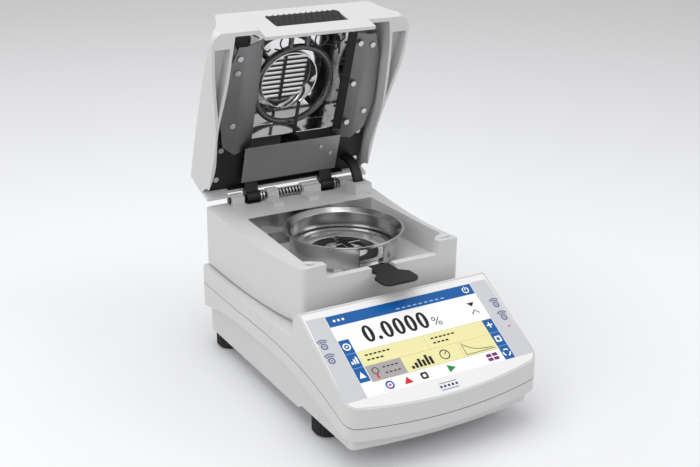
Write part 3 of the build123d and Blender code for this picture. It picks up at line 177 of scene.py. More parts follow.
# The shells' parting line as y and z in mm, and the colour ramp that holds it: the ramp starts at
# y = -SEAM_BEHIND and runs over SEAM_RUN, its levels start at z = SEAM_LOW and rise over SEAM_RISE
SEAM = [(136.5, 69.0), (60, 68.6), (-38, 69.2), (-78, 65.8), (-113, 59.8), (-143.5, 51.2),
        (-163.5, 44.6), (-185.5, 35.1)]
SEAM_BEHIND, SEAM_RUN, SEAM_LOW, SEAM_RISE = 180.0, 320.0, 30.0, 50.0
SEAM_STOPS = 30
SEAM_HALF = 0.3


def seam_height(y):
    """Height of the shells' parting line at y: a natural cubic over the chord length of its points,
    with its second derivatives bend from the usual three-term rows."""
    p = np.array(SEAM)
    t = np.concatenate([[0], np.cumsum(np.hypot(*np.diff(p, axis=0).T))])
    gap = np.diff(t)
    size = len(t)
    rows, right = np.zeros((size, size)), np.zeros((size, 2))
    rows[0, 0] = rows[-1, -1] = 1.0
    for k in range(1, size - 1):
        rows[k, k - 1:k + 2] = gap[k - 1], 2 * (gap[k - 1] + gap[k]), gap[k]
        right[k] = 6 * ((p[k + 1] - p[k]) / gap[k] - (p[k] - p[k - 1]) / gap[k - 1])
    bend = np.linalg.solve(rows, right)
    fine = np.linspace(0, t[-1], 600)
    k = np.clip(np.searchsorted(t, fine) - 1, 0, size - 2)
    a, b, h = (t[k + 1] - fine)[:, None], (fine - t[k])[:, None], gap[k][:, None]
    curve = (bend[k] * a ** 3 + bend[k + 1] * b ** 3) / (6 * h) \
        + (p[k] / h - bend[k] * h / 6) * a + (p[k + 1] / h - bend[k + 1] * h / 6) * b
    order = np.argsort(curve[:, 0])
    return np.interp(y, curve[order, 0], curve[order, 1])


def shell_plastic_seam_shade(name, colour):
    """The case plastic with painted shade along the shells' parting line, where |z - seam_height(y)| <
    SEAM_HALF.
    """
    coat = moulded(name, colour, 0.42, 1500.0, 0.12)
    _, y, z = coat.split(coat.place)
    at = np.linspace(-SEAM_BEHIND, SEAM_RUN - SEAM_BEHIND, SEAM_STOPS)
    levels = (seam_height(at) - SEAM_LOW) / SEAM_RISE
    stops = [((a + SEAM_BEHIND) / SEAM_RUN, (v, v, v)) for a, v in zip(at, levels)]
    along = (y * MM_PER_M + SEAM_BEHIND) * (1 / SEAM_RUN)
    curve = coat.add("ShaderNodeValToRGB", {"stops": stops}, [along])
    away = (z * MM_PER_M - (curve * SEAM_RISE + SEAM_LOW)).math("ABSOLUTE")
    line = away.math("LESS_THAN", SEAM_HALF)
    base = coat.shader.inputs["Base Color"].links[0].from_socket
    # Painted shade: a band of rgb 0.10 along the parting line stands in for the shadow in the gap between
    # the shells.
    coat.feed("Base Color", coat.blend(line, Wire(coat, base), rgb(0.10)))
    return coat


def sheet_steel(name, level, rough, stretch, grain=0.25):
    """Rolled sheet: fine lines along the rolling direction and faint cloudy patches."""
    coat = Coat(name, metallic=1.0)
    lines = coat.noise(260.0, 3.0, stretch)
    cloud = coat.noise(22.0, 2.0)
    coat.feed("Base Color", coat.blend(cloud, rgb(level, (1, 1, 1.01)), rgb(level * 0.86)))
    coat.feed("Roughness", rough - 0.06 + lines * 0.1 + cloud * 0.06)
    coat.bump(lines, grain, 0.00005)
    return coat


def spun_steel(name, level, rough, centre):
    """Turned and polished steel: fine rings about the upright axis through centre, noise over
    (sqrt(x^2 + y^2), z)."""
    coat = Coat(name, metallic=1.0)
    moved = coat.add("ShaderNodeMapping", {},
                     {"Vector": coat.place, "Location": (-centre[0], -centre[1], 0)})
    x, y, z = coat.split(moved)
    radius = (x * x + y * y).math("SQRT")
    rings_per_m = 900.0
    rings = coat.add("ShaderNodeCombineXYZ", {}, [radius * rings_per_m, z * rings_per_m, 0.0])
    lathe = coat.add("ShaderNodeTexNoise", {}, {"Vector": rings, "Scale": 1.0, "Detail": 3.0})
    cloud = coat.noise(18.0, 2.0)
    coat.feed("Base Color", coat.blend(cloud, rgb(level), rgb(level * 0.9)))
    coat.feed("Roughness", rough + lathe * 0.09 + cloud * 0.04)
    coat.bump(lathe, 0.18, 0.00004)
    return coat


def ribbed_rubber(name):
    """Black rubber: dull, with patches of dust."""
    coat = Coat(name, specular_ior_level=0.3)
    fine = coat.noise(900.0, 4.0)
    dust = coat.noise(60.0, 4.0)
    coat.feed("Base Color", coat.blend(dust, rgb(0.012), rgb(0.03)))
    coat.feed("Roughness", 0.55 + dust * 0.2)
    coat.bump(fine, 0.3, 0.0001)
    return coat


def circuit_board(name):
    """Green resist over traces, with paler pads."""
    coat = Coat(name, coat_weight=0.4)
    cells = coat.add("ShaderNodeTexVoronoi", {"distance": "MANHATTAN"},
                     {"Vector": coat.place, "Scale": 260.0})
    resist, pad = (0.01, 0.09, 0.035, 1), (0.03, 0.16, 0.06, 1)
    coat.feed("Base Color", coat.blend(cells > 0.55, resist, pad))
    coat.feed("Roughness", 0.35 + cells * 0.1)
    return coat


def coated_glass(name):
    """Glass printed white on its back: a clean gloss coat with the faintest smears."""
    coat = Coat(name, coat_weight=1.0, coat_roughness=0.03, specular_ior_level=0.5)
    smear = coat.noise(9.0, 3.0)
    coat.feed("Base Color", coat.blend(smear, rgb(0.83), rgb(0.81)))
    coat.feed("Roughness", 0.22 + smear * 0.08)
    return coat


def lit_screen(name):
    """The screen's picture: colour from the mesh's own tint, a little of it lit from behind."""
    coat = Coat(name, coat_weight=0.3, coat_roughness=0.03, specular_ior_level=0.2,
                emission_strength=0.10)
    tint = coat.add("ShaderNodeAttribute", {"attribute_name": "tint"}, [])
    smear = coat.noise(9.0, 3.0)
    coat.feed("Base Color", tint)
    coat.feed("Emission Color", tint)
    coat.feed("Roughness", 0.3 + smear * 0.06)
    return coat


def floor_finish(name):
    """Studio paper: its tone goes by the distance from the origin, with a ramp 4 m long; the changes of
    tone are painted light.
    """
    coat = Coat(name, roughness=0.9, specular_ior_level=0.0)
    length = coat.add("ShaderNodeVectorMath", {"operation": "LENGTH"}, [coat.place], 1)
    ramp_length = 4.0
    # Painted light: the paper's tone rises to a paler ring about 0.5 m out and dips a little near 2.2 m,
    # for how the light falls on it.
    shade = coat.add("ShaderNodeValToRGB", {"stops": [
        (0.0, (0.80, 0.805, 0.815)), (0.07, (0.80, 0.805, 0.815)), (0.12, (0.84, 0.85, 0.865)),
        (0.24, (0.80, 0.805, 0.82)), (0.55, (0.78, 0.78, 0.78)), (1.0, (0.80, 0.80, 0.80)),
    ]}, [length * (1 / ramp_length)])
    coat.feed("Base Color", shade)
    return coat


FINISHES = {}


def make_finishes(settings):
    """Every finish of the object, by the names of the record's slots or of single pieces."""
    case = tuple(settings.case_colour) + (1.0,)
    coats = {
        "housing_white": moulded("case_plastic", case, 0.42, 1500.0, 0.12),
        "shells": shell_plastic_seam_shade("shell_plastic_seam_shade", case),
        "black_parts": moulded("black_plastic", rgb(0.005), 0.5, 1400.0, 0.2),
        "sheet_metal": sheet_steel("zinc_sheet", 0.24, 0.40, (1, 1, 0.06)),
        "polished_steel": sheet_steel("mirror_sheet", 0.80, 0.10, (1, 0.1, 1), 0.08),
        "bowl": spun_steel("spun_steel", 0.58, 0.15, (0.0, 0.017)),
        "mirror": sheet_steel("reflector_sheet", 0.92, 0.07, (0.1, 1, 1), 0.1),
        # Painted light: the zinc sheet again at a lighter level, so that the lower plate looks more
        # brightly lit.
        "painted_light_zinc_sheet": sheet_steel("painted_light_zinc_sheet", 0.36, 0.40, (1, 1, 0.06)),
        "dark_steel": sheet_steel("dark_steel", 0.07, 0.32, (1, 1, 1), 0.3),
        "terminal_steel": sheet_steel("terminal_steel", 0.22, 0.28, (1, 1, 1), 0.3),
        "rubber_black": ribbed_rubber("foot_rubber"),
        "screw_metal": sheet_steel("plated_steel", 0.66, 0.22, (1, 1, 1), 0.15),
        "display_glass": coated_glass("printed_glass"),
        "inner_dark": moulded("inner_plastic", rgb(0.02), 0.5, 900.0, 0.2),
        "board_green": circuit_board("circuit_board"),
        "ceramic_white": moulded("heater_ceramic", rgb(0.62, (1, 0.97, 0.9)), 0.7, 700.0, 0.4),
        "heater_tube": sheet_steel("heater_steel", 0.14, 0.26, (1, 1, 1), 0.3),
        "cell_aluminium": sheet_steel("milled_aluminium", 0.7, 0.3, (0.1, 1, 1)),
        "screen": lit_screen("screen_picture"),
    }
    FINISHES.update({name: coat.material for name, coat in coats.items()})


# Mesh helpers

def new_object(name, data):
    """An object of the scene that holds a mesh, a lamp or a camera."""
    thing = bpy.data.objects.new(name, data)
    bpy.context.scene.collection.objects.link(thing)
    return thing


def new_piece(name, points, faces, finish, body, smooth=False):
    """A mesh object in the row frame that rides on a body."""
    mesh = bpy.data.meshes.new(name)
    mesh.from_pydata([tuple(p) for p in points], [], [tuple(f) for f in faces])
    mesh.validate()
    piece = new_object(name, mesh)
    mesh.materials.append(FINISHES[finish])
    if smooth:
        mesh.shade_smooth()
    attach(piece, body)
    return piece


# Edges sharper than EDGE_ANGLE are rounded; faces within FLAT_ANGLE of each other are joined
EDGE_ANGLE = math.radians(32.0)
FLAT_ANGLE = math.radians(0.6)
SAME_PLACE = 2e-6


def softened(node, width, finish=None, segments=2, rounder=None):
    """A copy of a CAD solid with its flats joined and its edges rounded by width, in mm.

    rounder is a test on an edge and a width, in mm, for the edges that pass it."""
    source = NODES[node]
    mesh = bpy.data.meshes.new(node + "_finished")
    work = bmesh.new()
    work.from_mesh(source.data)
    bmesh.ops.remove_doubles(work, verts=work.verts, dist=SAME_PLACE)
    bmesh.ops.dissolve_limit(work, angle_limit=FLAT_ANGLE, verts=work.verts, edges=work.edges,
                             use_dissolve_boundaries=False)
    if rounder:
        test, wide = rounder
        chosen = [e for e in work.edges if len(e.link_faces) == 2 and test(e)]
        bmesh.ops.bevel(work, geom=chosen, offset=wide * MM, offset_type="OFFSET", segments=5,
                        profile=0.5, affect="EDGES", clamp_overlap=True)
    work.to_mesh(mesh)
    work.free()
    mesh.shade_smooth()
    mesh.materials.append(FINISHES[finish or SLOT[node]])
    piece = new_object(node + "_finished", mesh)
    bevel = piece.modifiers.new("edges", "BEVEL")
    bevel.width = width * MM
    bevel.segments = segments
    bevel.limit_method = "ANGLE"
    bevel.angle_limit = EDGE_ANGLE
    bevel.use_clamp_overlap = True
    even = piece.modifiers.new("normals", "WEIGHTED_NORMAL")
    even.keep_sharp = True
    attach(piece, BODY[node])
    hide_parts(node)


def plain(node):
    """A CAD solid shown as it is, with the finish of its slot."""
    target = NODES[node]
    target.data.materials.clear()
    target.data.materials.append(FINISHES[SLOT[node]])


def on_panel(u, v, lift):
    """Points on the sloping display: u across and v down from the ridge, in mm, lifted off it."""
    down = np.array([0.0, -math.cos(HEAD_TILT), -math.sin(HEAD_TILT)])
    out = np.array([0.0, -math.sin(HEAD_TILT), math.cos(HEAD_TILT)])
    u, v = np.asarray(u, float)[..., None], np.asarray(v, float)[..., None]
    return np.array(RIDGE) + (u * np.array([1.0, 0, 0]) + v * down + lift * out) * MM


def in_lid(x, s, h):
    """Points of the open lid: x across, s from the hinge and h up as if it were closed, in mm.

    y = h sin(LID_OPEN) - s cos(LID_OPEN), z = s sin(LID_OPEN) + h cos(LID_OPEN), from the hinge."""
    x, s, h = np.broadcast_arrays(np.asarray(x, float), s, h)
    c, k = math.cos(LID_OPEN), math.sin(LID_OPEN)
    y = -s * c + h * k
    z = s * k + h * c
    return np.array(HINGE) + np.stack([x, y, z], -1) * MM


def tube(path, radius, sides=12):
    """A closed tube round a path: rings of cos and sin in the frame carried along the path."""
    path = np.asarray(path, float)
    along = np.gradient(path, axis=0)
    along /= np.linalg.norm(along, axis=1)[:, None]
    side = np.cross(along, [0.31, 0.27, 0.91])
    side /= np.linalg.norm(side, axis=1)[:, None]
    other = np.cross(along, side)
    turn = np.linspace(0, 2 * math.pi, sides, endpoint=False)
    ring = np.cos(turn)[None, :, None] * side[:, None] + np.sin(turn)[None, :, None] * other[:, None]
    points = (path[:, None] + radius * ring).reshape(-1, 3)
    count = len(path)
    i, j = np.meshgrid(np.arange(count - 1), np.arange(sides), indexing="ij")
    k = (j + 1) % sides
    faces = np.stack([i * sides + j, i * sides + k, (i + 1) * sides + k, (i + 1) * sides + j], -1)
    faces = [tuple(f) for f in faces.reshape(-1, 4)]
    faces.append(tuple(range(sides))[::-1])
    faces.append(tuple((count - 1) * sides + n for n in range(sides)))
    return points, faces


def smooth_path(points, steps=8):
    """A curve through points: cubic pieces whose tangents are half the chord of the neighbours."""
    p = np.asarray(points, float)
    ends = np.vstack([2 * p[0] - p[1], p, 2 * p[-1] - p[-2]])
    t = np.linspace(0, 1, steps, endpoint=False)[:, None]
    runs = []
    for a, b, c, d in zip(ends[:-3], ends[1:-2], ends[2:-1], ends[3:]):
        runs.append(0.5 * (2 * b + (c - a) * t + (2 * a - 5 * b + 4 * c - d) * t ** 2
                           + (3 * b - a - 3 * c + d) * t ** 3))
    return np.vstack(runs + [p[-1:]])


def join_meshes(parts):
    """Points and faces of several meshes put together."""
    points, faces, start = [], [], 0
    for some_points, some_faces in parts:
        points.append(np.asarray(some_points))
        faces += [tuple(start + n for n in f) for f in some_faces]
        start += len(some_points)
    return np.vstack(points), faces


# The screen's picture

# Colours of the picture
BLUE = (0.004, 0.095, 0.325)
PALE = (0.76, 0.71, 0.36)
WHITE = (0.84, 0.84, 0.84)
GREY = (0.36, 0.34, 0.34)
INK = (0.008, 0.008, 0.01)
SIDE = (0.52, 0.53, 0.555)
SIGN = (0.13, 0.15, 0.26)
LINE = (0.50, 0.46, 0.24)
LAMP = (0.8, 0.03, 0.02)
MIST = (0.35, 0.5, 0.75)
SKY = (0.2, 0.35, 0.62)
DEEP = (0.02, 0.07, 0.40)
NAVY = (0.03, 0.05, 0.16)
RED = (0.62, 0.02, 0.03)
WINE = (0.55, 0.02, 0.03)
GREEN = (0.01, 0.24, 0.06)
PLUM = (0.16, 0.02, 0.16)

# Lifts of the picture's layers off the panel, in mm, from the lowest
BANDS, FIELD, HEADER, PANE, RULE, GROOVE, MARK, LIQUID, ACCENT = (
    0.02, 0.03, 0.04, 0.045, 0.05, 0.055, 0.06, 0.065, 0.07)

# Edges in the picture, in mm: u from the middle, v down from the ridge
SCREEN_HALF, SCREEN_TOP, SCREEN_BOTTOM = 77.1, 9.5, 95.4
HEADER_BOTTOM = 21.0
PANES_LEFT, PANES_RIGHT = -65.6, 68.0
PANES_TOP, PANES_MIDDLE, PANES_BOTTOM = 50.8, 66.2, 82.5
KEYS_INNER, KEYS_HEIGHT = 66.5, 44.6
KEYS_LEFT_TOP, KEYS_RIGHT_TOP = 36.0, 50.8
KEY_U = 71.8


class Picture:
    """Flat tiles on the display, each with its own colour and its own small lift."""

    def __init__(self):
        self.points, self.faces, self.tints = [], [], []

    def tile(self, outline, tint, lift):
        """One flat tile from its outline in u and v, turned to face outwards by its signed area."""
        u, v = np.asarray(outline, float).T
        area = np.sum(u * np.roll(v, -1) - np.roll(u, -1) * v)
        if area > 0:
            u, v = u[::-1], v[::-1]
        start = len(self.points)
        self.points += list(on_panel(u, v, lift))
        self.faces.append(tuple(range(start, start + len(u))))
        self.tints.append(tint)

    def box(self, u0, u1, v0, v1, tint, lift, radius=0.0):
        """A rectangle, its corners rounded by quarter circles."""
        if not radius:
            self.tile([(u0, v0), (u1, v0), (u1, v1), (u0, v1)], tint, lift)
            return
        t = np.linspace(0, math.pi / 2, 5)
        corners = []
        for cu, cv, turn in ((u1 - radius, v1 - radius, 0), (u0 + radius, v1 - radius, 1),
                             (u0 + radius, v0 + radius, 2), (u1 - radius, v0 + radius, 3)):
            a = t + turn * math.pi / 2
            corners.append(np.stack([cu + radius * np.cos(a), cv + radius * np.sin(a)], -1))
        self.tile(np.vstack(corners), tint, lift)

    def dashes(self, count, step, u, width, v0, v1, tint, lift, radius=0.0):
        """A row of small boxes, the first at u, then one every step."""
        for k in range(count):
            self.box(u + k * step, u + width + k * step, v0, v1, tint, lift, radius)

    def bars(self, heights, step, u, width, foot, tint, lift):
        """A row of upright bars on one foot line."""
        for k, height in enumerate(heights):
            self.box(u + k * step, u + width + k * step, foot - height, foot, tint, lift)

    def disc(self, u, v, radius, tint, lift):
        """A round tile of 28 sides."""
        a = np.radians(np.linspace(0.0, 360.0, 29))[:-1]
        self.tile(np.stack([u + radius * np.cos(a), v + radius * np.sin(a)], -1), tint, lift)

    def stroke(self, points, width, tint, lift):
        """A line of even width: the path moved to either side along its normal."""
        p = np.asarray(points, float)
        along = np.gradient(p, axis=0)
        along /= np.linalg.norm(along, axis=1)[:, None]
        side = np.stack([-along[:, 1], along[:, 0]], -1) * width / 2
        left, right = p + side, p - side
        for corners in zip(left[:-1], left[1:], right[1:], right[:-1]):
            self.tile(corners, tint, lift)

    def ring(self, u, v, radius, width, tint, lift, start=0.0, end=360.0):
        """A ring, or the part of one between two angles in degrees."""
        a = np.radians(np.linspace(start, end, 33))
        path = np.stack([u + radius * np.cos(a), v + radius * np.sin(a)], -1)
        self.stroke(path, width, tint, lift)

    def nought(self, u, v, tint):
        """The figure nought: a tall loop, thick at its sides, with its ends a little flattened by
        the power of 0.86."""
        a = np.linspace(0, 2 * math.pi, 41)
        bow = np.sign(np.cos(a)) * np.abs(np.cos(a)) ** 0.86
        outer = np.stack([u + 5.2 * bow, v + 8.9 * np.sin(a)], -1)
        inner = np.stack([u + 1.55 * bow, v + 6.5 * np.sin(a)], -1)
        for corners in zip(outer[:-1], outer[1:], inner[1:], inner[:-1]):
            self.tile(corners, tint, MARK)


def draw_frame_bands(picture):
    """The grey bands either side of the screen, each with two signs, a ring under two waves, and
    the lamp on the right one."""
    for side in (-1, 1):
        outline = [(77.6, 8.6), (95.9, 8.6), (98.1, 95.5), (77.6, 95.5)]
        picture.tile([(side * u, v) for u, v in outline], SIDE, BANDS)
        for v in (38.0, 53.0):
            u = side * 91.0
            picture.ring(u, v, 2.6, 1.5, SIGN, RULE)
            picture.disc(u, v, 0.9, SIGN, RULE)
            for radius in (4.8, 6.9):
                picture.ring(u, v, radius, 1.3, SIGN, RULE, 225, 315)
    picture.disc(90.5, 63.0, 1.1, LAMP, MARK)


def draw_reading(picture):
    """The header, the reading in noughts and its small marks."""
    picture.box(-SCREEN_HALF, SCREEN_HALF, SCREEN_TOP, SCREEN_BOTTOM, WHITE, FIELD)
    picture.box(-SCREEN_HALF, SCREEN_HALF, SCREEN_TOP, HEADER_BOTTOM, BLUE, HEADER)
    for k in range(3):
        picture.disc(-70.5 + k * 4.4, 15.2, 1.3, WHITE, MARK)
    picture.dashes(9, 6.0, -8.0, 3.6, 17.4, 18.5, MIST, MARK)
    picture.ring(69.5, 15.2, 3.0, 1.1, WHITE, MARK, -60, 240)
    picture.box(69.0, 70.0, 11.2, 15.4, WHITE, ACCENT)
    for u in (-46.0, -26.8, -14.4, -2.0, 10.4):
        picture.nought(u, 35.5, INK)
    picture.disc(-36.4, 42.2, 2.0, INK, MARK)
    picture.ring(21.2, 37.0, 1.6, 0.9, INK, MARK)
    picture.ring(26.2, 42.4, 1.6, 0.9, INK, MARK)
    picture.stroke([(20.6, 43.4), (23.7, 39.7), (26.8, 36.0)], 0.9, INK, MARK)
    picture.tile([(62, 29.5), (70, 29.5), (66, 34.0)], INK, MARK)
    picture.stroke([(62, 42.0), (66, 38.0), (70, 42.0)], 1.1, INK, MARK)


def draw_panes(picture):
    """Pale panes with a curve, a bar chart and a dial, and a grey pane at the left."""
    picture.box(PANES_LEFT, PANES_RIGHT, PANES_TOP, PANES_BOTTOM, PALE, HEADER)
    for v in (PANES_TOP, PANES_MIDDLE, PANES_BOTTOM):
        picture.stroke([(PANES_LEFT, v), (0, v), (PANES_RIGHT, v)], 0.35, LINE, RULE)
    for u, v0, v1 in ((2.0, PANES_TOP, PANES_MIDDLE), (-30.0, PANES_MIDDLE, PANES_BOTTOM),
                      (30.0, PANES_MIDDLE, PANES_BOTTOM), (PANES_LEFT, PANES_TOP, PANES_BOTTOM)):
        picture.stroke([(u, v0), (u, (v0 + v1) / 2), (u, v1)], 0.35, LINE, RULE)
    picture.box(PANES_LEFT, -30.0, PANES_MIDDLE, PANES_BOTTOM, GREY, PANE)
    t = np.linspace(0, 1, 16)
    drying = np.stack([34 + 28 * t, 69.5 + 10.0 * (1 - np.exp(-3.2 * t))], -1)
    picture.stroke(drying, 0.7, INK, MARK)
    picture.stroke([(33, 68), (33, 74), (33, 80.6)], 0.6, INK, MARK)
    picture.stroke([(33, 80.6), (48, 80.6), (64, 80.6)], 0.6, INK, MARK)
    picture.bars((3.0, 5.5, 8.5, 6.5, 10.5, 8.0), 4.0, -24.0, 2.8, 80.4, INK, MARK)
    picture.ring(12.5, 74.5, 4.6, 1.0, INK, MARK)
    picture.stroke([(12.5, 74.5), (14.0, 73.0), (15.5, 71.5)], 0.8, INK, ACCENT)
    for v, count in ((55.0, 6), (60.0, 4)):
        for u in (-60.0, 8.0):
            picture.dashes(count, 4.4, u, 3.0, v, v + 1.6, INK, MARK)
    picture.ring(-58.0, 72.5, 3.0, 0.8, INK, MARK)
    picture.box(-58.9, -57.1, 75.0, 80.5, WINE, LIQUID, 0.8)
    for v in (70.4, 76.4):
        picture.dashes(4, 4.2, -50.0, 2.6, v, v + 1.2, INK, MARK)


def draw_keys(picture):
    """Two blue columns with white signs, and the coloured signs of the lowest row."""
    for side, top in ((-1, KEYS_LEFT_TOP), (1, KEYS_RIGHT_TOP)):
        u0, u1 = sorted((side * SCREEN_HALF, side * KEYS_INNER))
        picture.box(u0, u1, top, top + KEYS_HEIGHT, BLUE, PANE)
        for v in (14.6, 29.6):
            picture.box(u0, u1, top + v, top + v + 0.5, SKY, GROOVE)
    top = KEYS_LEFT_TOP
    picture.ring(-KEY_U, top + 7.4, 3.1, 1.4, WHITE, MARK)
    picture.disc(-KEY_U, top + 7.4, 1.0, WHITE, MARK)
    picture.bars((3.0, 5.0, 7.0), 2.6, -75.2, 1.8, top + 25.7, WHITE, MARK)
    picture.tile([(-75.0, top + 40.4), (-KEY_U, top + 34.0), (-68.6, top + 40.4)], WHITE, MARK)
    picture.box(68.8, 74.8, 56.4, 57.8, WHITE, MARK)
    picture.box(71.1, 72.5, 54.2, 60.2, WHITE, MARK)
    picture.box(68.6, 75.0, 69.8, 76.2, WHITE, MARK, 1.0)
    picture.box(70.2, 73.4, 71.4, 74.6, BLUE, ACCENT)
    for turn in (0, 120, 240):
        picture.ring(KEY_U, 88.4, 3.4, 1.3, WHITE, MARK, turn, turn + 80)
    picture.ring(-52.0, 89.2, 3.4, 1.6, DEEP, MARK)
    picture.disc(-52.0, 89.2, 1.3, RED, MARK)
    picture.tile([(-38.5, 92.6), (-34.0, 85.6), (-29.5, 92.6)], RED, MARK)
    picture.box(-20.5, -13.5, 85.8, 92.6, INK, MARK, 1.6)
    picture.box(-18.6, -15.4, 87.6, 90.8, WHITE, ACCENT, 0.6)
    picture.tile([(8, 85.0), (16, 89.0), (8, 93.0)], GREEN, MARK)
    for v in (85.4, 89.6):
        picture.dashes(2, 6.4, 50.0, 5.4, v, v + 3.2, PLUM, MARK, 0.6)


def draw_maker_place(picture):
    """A plain mark where the panel is usually signed, and a row of dots above the screen."""
    for k in range(5):
        picture.disc(-8.0 + 4.0 * k, 104.2, 1.3, NAVY, RULE)
    for v in (100.6, 107.2):
        picture.box(-9.0, 9.0, v, v + 0.6, NAVY, RULE)
    for k in range(12):
        picture.disc(-9.9 + 1.8 * k, 4.7, 0.28, SIGN, RULE)


# Operators

class AnalyzerSizes(bpy.types.PropertyGroup):
    """Sizes and colours that a user would change."""

    case_edge: FloatProperty(name="Case edge", description="Rounding of the case's edges, in mm",
                             default=1.1, min=0.2, max=2.0)
    case_colour: FloatVectorProperty(name="Case colour", description="Colour of the moulded case",
                                     subtype="COLOR", size=3, default=(0.66, 0.66, 0.655))
    lamp_power: FloatProperty(name="Lamp power", description="Power of the main softbox, in watts",
                              default=18.5, min=0.0)


def sizes():
    """The sizes and colours set in the panel."""
    return bpy.context.scene.analyzer_sizes


class ANALYZER_OT_case(bpy.types.Operator):
    """Finishes the shells, the chamber housing and the parts of the base"""

    bl_idname = "analyzer.case"
    bl_label = "Case"

    # The housing's outer upper edges lie beyond RIM_X and above RIM_Z; all in mm
    RIM_X, RIM_Z, RIM_ROUNDING = 78, 136, 3.2

    def execute(self, context):
        edge = sizes().case_edge
        for node in ("upper_shell", "lower_shell"):
            softened(node, edge, "shells", segments=3)
        softened("chamber_housing", edge, segments=3, rounder=(self.on_rim, self.RIM_ROUNDING))
        for node in ("hinge_block_left", "hinge_block_middle", "hinge_saddle", "cable_tower"):
            softened(node, 0.7)
        softened("hinge_pin", 0.3, "dark_steel")
        for node in ("bumpers", "mains_inlet", "rocker_frame", "power_rocker"):
            softened(node, 0.4)
        for name in ("front_left", "front_right", "rear_left", "rear_right"):
            softened("foot_" + name, 0.5)
        return {"FINISHED"}

    @classmethod
    def on_rim(cls, edge):
        """Whether an edge lies between the housing's top and the outside of its side walls."""
        upright, level = sorted(abs(f.normal.z) for f in edge.link_faces)
        return (upright < 0.4 and level > 0.7
                and all(abs(v.co.x) > cls.RIM_X * MM and v.co.z > cls.RIM_Z * MM for v in edge.verts))


class ANALYZER_OT_inner(bpy.types.Operator):
    """Gives the inner pieces and the small metal parts their finish"""

    bl_idname = "analyzer.inner"
    bl_label = "Inner pieces"

    def execute(self, context):
        for node in NODES:
            if not NODES[node].hide_render:
                plain(node)
        return {"FINISHED"}


class ANALYZER_OT_chamber(bpy.types.Operator):
    """Finishes the drying chamber: liner, bowl, lifter and pan support"""

    bl_idname = "analyzer.chamber"
    bl_label = "Chamber"

    def execute(self, context):
        softened("chamber_liner", 0.2, "polished_steel")
        softened("draft_shield", 0.25, "bowl")
        softened("pan_lifter", 0.9, segments=3)
        softened("pan_hub", 0.5)
        softened("pan_cross", 0.3)
        return {"FINISHED"}


class ANALYZER_OT_lid(bpy.types.Operator):
    """Finishes the lid's hood, plates, frame and heater"""

    bl_idname = "analyzer.lid"
    bl_label = "Lid"

    # The vents, in mm: ten rows of two slots between x = SPINE_HALF and SLOTS_REACH at either side
    VENTS_RADIUS, VENTS_MIDDLE = 29.6, 113.0
    SLOTS_REACH, SPINE_HALF = 25.0, 1.6
    ROW_PITCH, BAR_HALF = 5.4, 1.05

    def execute(self, context):
        softened("lid_hood", sizes().case_edge, segments=3)
        softened("lid_frame", 0.6)
        softened("lid_front_grille", 0.2)
        for node in ("side_plate_left", "side_plate_right"):
            softened(node, 0.25)
        # The lower plate takes the lighter copy of the zinc sheet, which is painted light.
        softened("lower_plate", 0.25, "painted_light_zinc_sheet")
        softened("reflector", 0.4, "mirror")
        softened("reflector_collar", 0.25, "mirror")
        for node in ("sensor_holder", "side_rail", "cable_horn"):
            softened(node, 0.5)
        softened("terminal_block", 0.5, "terminal_steel")
        softened("sensor_rod", 0.4, "dark_steel")
        softened("heater_brackets", 0.2, "dark_steel")
        self.vent_shade_sheet()
        softened("lid_screws", 0.35)
        return {"FINISHED"}

    def vent_shade_sheet(self):
        """A black sheet of painted shade under the vents, where the hood's inside lies in shadow: strips
        between the ten rows of slots and beside them, ended by x^2 + (s - VENTS_MIDDLE)^2 = VENTS_RADIUS^2."""
        radius, middle = self.VENTS_RADIUS, self.VENTS_MIDDLE
        side, spine = self.SLOTS_REACH, self.SPINE_HALF
        parts = []
        for left, right in ((-radius, -side), (-spine, spine), (side, radius)):
            across = np.linspace(left, right, 7)
            reach = np.sqrt(np.maximum(radius ** 2 - across ** 2, 0.0))
            for x0, x1, a, b in zip(across[:-1], across[1:], reach[:-1], reach[1:]):
                for k in range(8):
                    low, high = k / 4 - 1, (k + 1) / 4 - 1
                    parts.append(self.strip([(x0, middle + a * low), (x1, middle + b * low),
                                             (x1, middle + b * high), (x0, middle + a * high)]))
        for row in range(11):
            s0 = middle + (row - 5) * self.ROW_PITCH - self.BAR_HALF
            s = np.clip([s0, s0 + 2 * self.BAR_HALF], middle - radius + 0.1, middle + radius - 0.1)
            reach = np.minimum(np.sqrt(np.maximum(radius ** 2 - (s - middle) ** 2, 0.0)), side)
            parts.append(self.strip([(-reach[0], s[0]), (reach[0], s[0]),
                                     (reach[1], s[1]), (-reach[1], s[1])]))
        points, faces = join_meshes(parts)
        # Painted shade: the black sheet darkens the bars between the vent slots, which lie in the hood's
        # shadow.
        new_piece("vent_shade_sheet", points, faces, "inner_dark", "lid")

    def strip(self, corners):
        """A flat strip 0.5 mm thick, 0.25 mm under the hood's inner face, which lies at
        h = 44.7 - 5.6 ((s - 60) / 131)^2."""
        x, s = np.array(corners + corners).T
        inner_face = 44.7 - 5.6 * ((s - 60.0) / 131.0) ** 2
        h = inner_face - np.repeat([0.75, 0.25], 4)
        faces = [(3, 2, 1, 0), (4, 5, 6, 7), (4, 0, 1, 5), (5, 1, 2, 6), (6, 2, 3, 7), (7, 3, 0, 4)]
        return in_lid(x, s, h), faces


